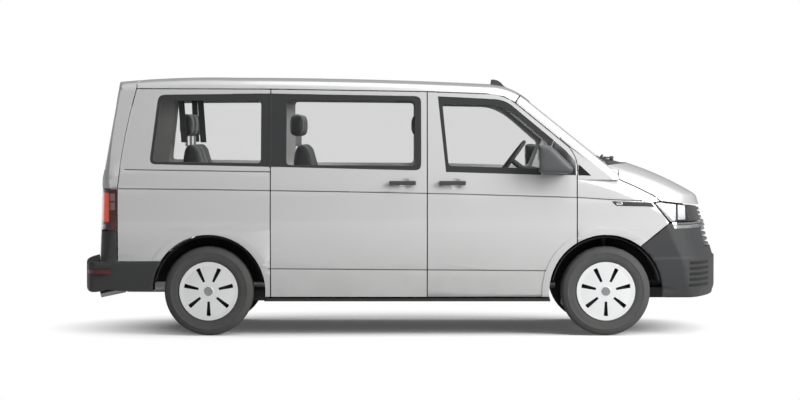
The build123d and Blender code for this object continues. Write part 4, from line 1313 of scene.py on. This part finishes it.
@dataclass
class Cabin:
    """Seats, belts, dashboard and steering wheel."""

    front_rear_x: float = 0.150
    second_rear_x: float = -0.790
    third_rear_x: float = -1.640
    pressure: float = 4.0
    frames: int = 20
    pads: dict[str, bpy.types.Mesh] = field(default_factory=dict)

    def build(self) -> None:
        """Build the cabin."""
        Bench.skin("dashboard", INTERIOR, Slot.TRIM)
        self.steering()
        self.make_pads()
        rows = (
            ("front_seats", self.front_rear_x, (-0.405, 0.405), 1.27),
            ("second_row_seat", self.second_rear_x, (-0.41, 0.0, 0.41), 1.0),
            ("third_row_seat", self.third_rear_x, (-0.41, 0.0, 0.41), 1.0),
        )
        for node, rear_x, places, width in rows:
            for number, y in enumerate(places):
                self.seat(node, rear_x, y, width, number)
        self.belts()

    def steering(self) -> None:
        """Round-rimmed steering wheel with a padded hub."""
        tilt = math.radians(37.0)
        axis = Vector((-math.cos(tilt), 0.0, math.sin(tilt)))
        centre = Vector((0.880, 0.405, 1.318))
        grip = 0.0145
        angles = [math.tau * i / 14 for i in range(14)]
        circle = [(0.177 + grip * math.cos(a), grip * math.sin(a)) for a in angles]
        rim = Bench.lathe("wheel_rim", circle, centre, axis, 56)
        hub_profile = [(0.0, -0.11), (0.022, -0.11), (0.022, -0.02), (0.058, -0.014)]
        hub_profile += [(0.062, 0.004), (0.050, 0.014), (0.0, 0.018)]
        hub = Bench.lathe("wheel_hub", hub_profile, centre, axis, 40)
        down = axis.cross(ACROSS)
        parts = [rim, hub]
        for out in (ACROSS, -ACROSS, down if down.z < 0 else -down):
            parts.append(Bench.rod("wheel_spoke", centre + out * 0.04, centre + out * 0.172, 0.011))
        wheel = Bench.fuse("steering_wheel_trim", parts)
        Bench.keep(wheel, "steering", INTERIOR, Slot.TRIM, "steering_wheel")

    def stuff(self, piece: Piece, voxel: float, cap: float) -> Piece:
        """Swell a closed pad as stuffed cloth.

        Args:
            piece: Closed pad.
            voxel: Remesh size in metres.
            cap: Furthest that a point may move.

        Returns:
            The same pad.
        """
        Bench.pick(piece)
        piece.data.remesh_voxel_size = voxel
        bpy.ops.object.voxel_remesh()
        start = [v.co.copy() for v in piece.data.vertices]
        cloth = piece.modifiers.new("stuffing", "CLOTH")
        cloth.settings.use_pressure = True
        cloth.settings.uniform_pressure_force = self.pressure
        cloth.settings.effector_weights.gravity = 0.0
        for frame in range(1, self.frames + 1):
            bpy.context.scene.frame_set(frame)
        bpy.ops.object.modifier_apply(modifier=cloth.name)
        bpy.context.scene.frame_set(1)
        for vertex, place in zip(piece.data.vertices, start):
            move = vertex.co - place
            if move.length > cap:
                vertex.co = place + move * (cap / move.length)
        return piece

    def make_pads(self) -> None:
        """Stuff a cushion, a backrest and a head pad for a seat whose rear is at the origin."""
        cushion = Bench.block(
            "cushion", (0.094, -0.188, CUSHION_Z), (0.606, 0.188, 0.884), 0.045, 4
        )
        outline = ((0.08, 0.80), (0.20, 0.80), (0.100, 1.285), (0.052, 1.456))
        outline += ((-0.012, 1.456), (-0.028, 1.30))
        corners = [Vector((x, -0.188, z)) for x, z in outline]
        back = Bench.prism("back", corners, ACROSS * 0.376, 0.03)
        head = Bench.block("head", (-0.064, -0.114, 1.510), (0.030, 0.114, 1.676), 0.036, 4)
        for key, piece, voxel, cap in (
            ("cushion", cushion, 0.014, 0.016),
            ("back", back, 0.014, 0.014),
            ("head", head, 0.010, 0.010),
        ):
            self.stuff(piece, voxel, cap)
            self.stitch(key, piece)
            Bench.bake(piece, "SUBSURF", levels=1, render_levels=1)
            self.pads[key] = piece.data
            bpy.data.objects.remove(piece)

    @staticmethod
    def channel(offset: float, depth: float) -> float:
        """Depth of a sewn channel at a distance from its middle."""
        return depth * math.exp(-((offset / 0.012) ** 2))

    def stitch(self, key: str, piece: Piece) -> None:
        """Press the sewn channels into a pad."""
        for vertex in piece.data.vertices:
            x, y, z = vertex.co
            sides = self.channel(abs(y) - 0.118, 0.007)
            if key == "back":
                press = sides + sum(self.channel(z - seam, 0.006) for seam in (1.02, 1.22))
                vertex.co.x -= press if x > 0.02 else -press
            elif key == "cushion" and z > 0.8:
                vertex.co.z -= sides + sum(self.channel(x - seam, 0.007) for seam in (0.26, 0.43))

    def seat(self, node: str, rear_x: float, y: float, width: float, number: int) -> None:
        """Place one seat's pads, plinth and head posts."""
        for key, mesh in self.pads.items():
            pad = Bench.place(f"{node}_{number}_{key}", mesh.copy())
            stretch = Matrix.Scale(width if key != "head" else 1.08, 4, ACROSS)
            pad.data.transform(Matrix.Translation((rear_x, y, 0.0)) @ stretch)
            Bench.smooth(pad, 60.0)
            replaced = [node] if key == "cushion" and number == 0 else []
            Bench.keep(pad, "body", CLOTH, Slot.FABRIC, *replaced)
        half = 0.16 * width
        low, high = (rear_x + 0.14, y - half, 0.501), (rear_x + 0.55, y + half, CUSHION_Z)
        plinth = Bench.block(f"{node}_{number}_plinth", low, high, 0.02)
        Bench.keep(plinth, "body", INTERIOR, Slot.TRIM)
        posts = []
        for side in (-1, 1):
            ends = [Vector((rear_x - 0.02, y + side * 0.055, z)) for z in (1.43, 1.53)]
            posts.append(Bench.rod("post", *ends, 0.006))
        Bench.keep(Bench.fuse(f"{node}_{number}_posts", posts), "body", CHROME, Slot.STEEL)

    def belts(self) -> None:
        """Belts from the roof rail down to the third-row seats."""
        for number, (x, y) in enumerate(((-1.705, -0.66), (-1.56, -0.64), (-1.705, 0.66))):
            low_y = y + (0.05 if y < 0 else -0.05)
            corners = [
                Vector((x, y, 1.80)),
                Vector((x + 0.046, y, 1.80)),
                Vector((x + 0.066, low_y, 1.46)),
                Vector((x + 0.020, low_y, 1.46)),
            ]
            belt = Bench.prism(f"belt_{number}", corners, ACROSS * 0.003)
            Bench.keep(belt, "body", BELT, Slot.FABRIC)


@dataclass
class Wipers:
    """Arms and blades at the foot of the windscreen."""

    runs: tuple[tuple[Point, Point], ...] = (
        ((1.596, 0.50), (1.575, -0.10)),
        ((1.640, -0.20), (1.520, -0.70)),
    )

    def build(self) -> None:
        """Build both wipers."""
        for number, (pivot, tip) in enumerate(self.runs):
            start = self.on_glass(*pivot, 0.020)
            end = self.on_glass(*tip, 0.016)
            arm = Bench.rod("arm", start, end, 0.006)
            cap = Bench.rod("cap", start - UP * 0.02, start + UP * 0.012, 0.016)
            blade = Bench.rod("blade", end + (start - end) * 0.45, end + (end - start) * 0.02, 0.008)
            wiper = Bench.fuse(f"wiper_{number}", [arm, cap, blade])
            Bench.keep(wiper, "body", HANDLE, Slot.PLASTIC)

    def on_glass(self, x: float, y: float, lift: float) -> Vector:
        """Point above the windscreen or cowl."""
        top = max(Bench.drop("windscreen", x, y), Bench.drop("cowl", x, y))
        return Vector((x, y, top + lift))


def main() -> None:
    """Build the minivan and its set."""
    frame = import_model()
    Bench.nodes = frame["nodes"]
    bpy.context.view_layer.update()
    for part in (Studio(), BodyShell(), Windows(), Wheels(), Lamps(), Cabin(), Wipers()):
        part.build()
        LOG.info("%s done", type(part).__name__)


if __name__ == "__main__":
    main()
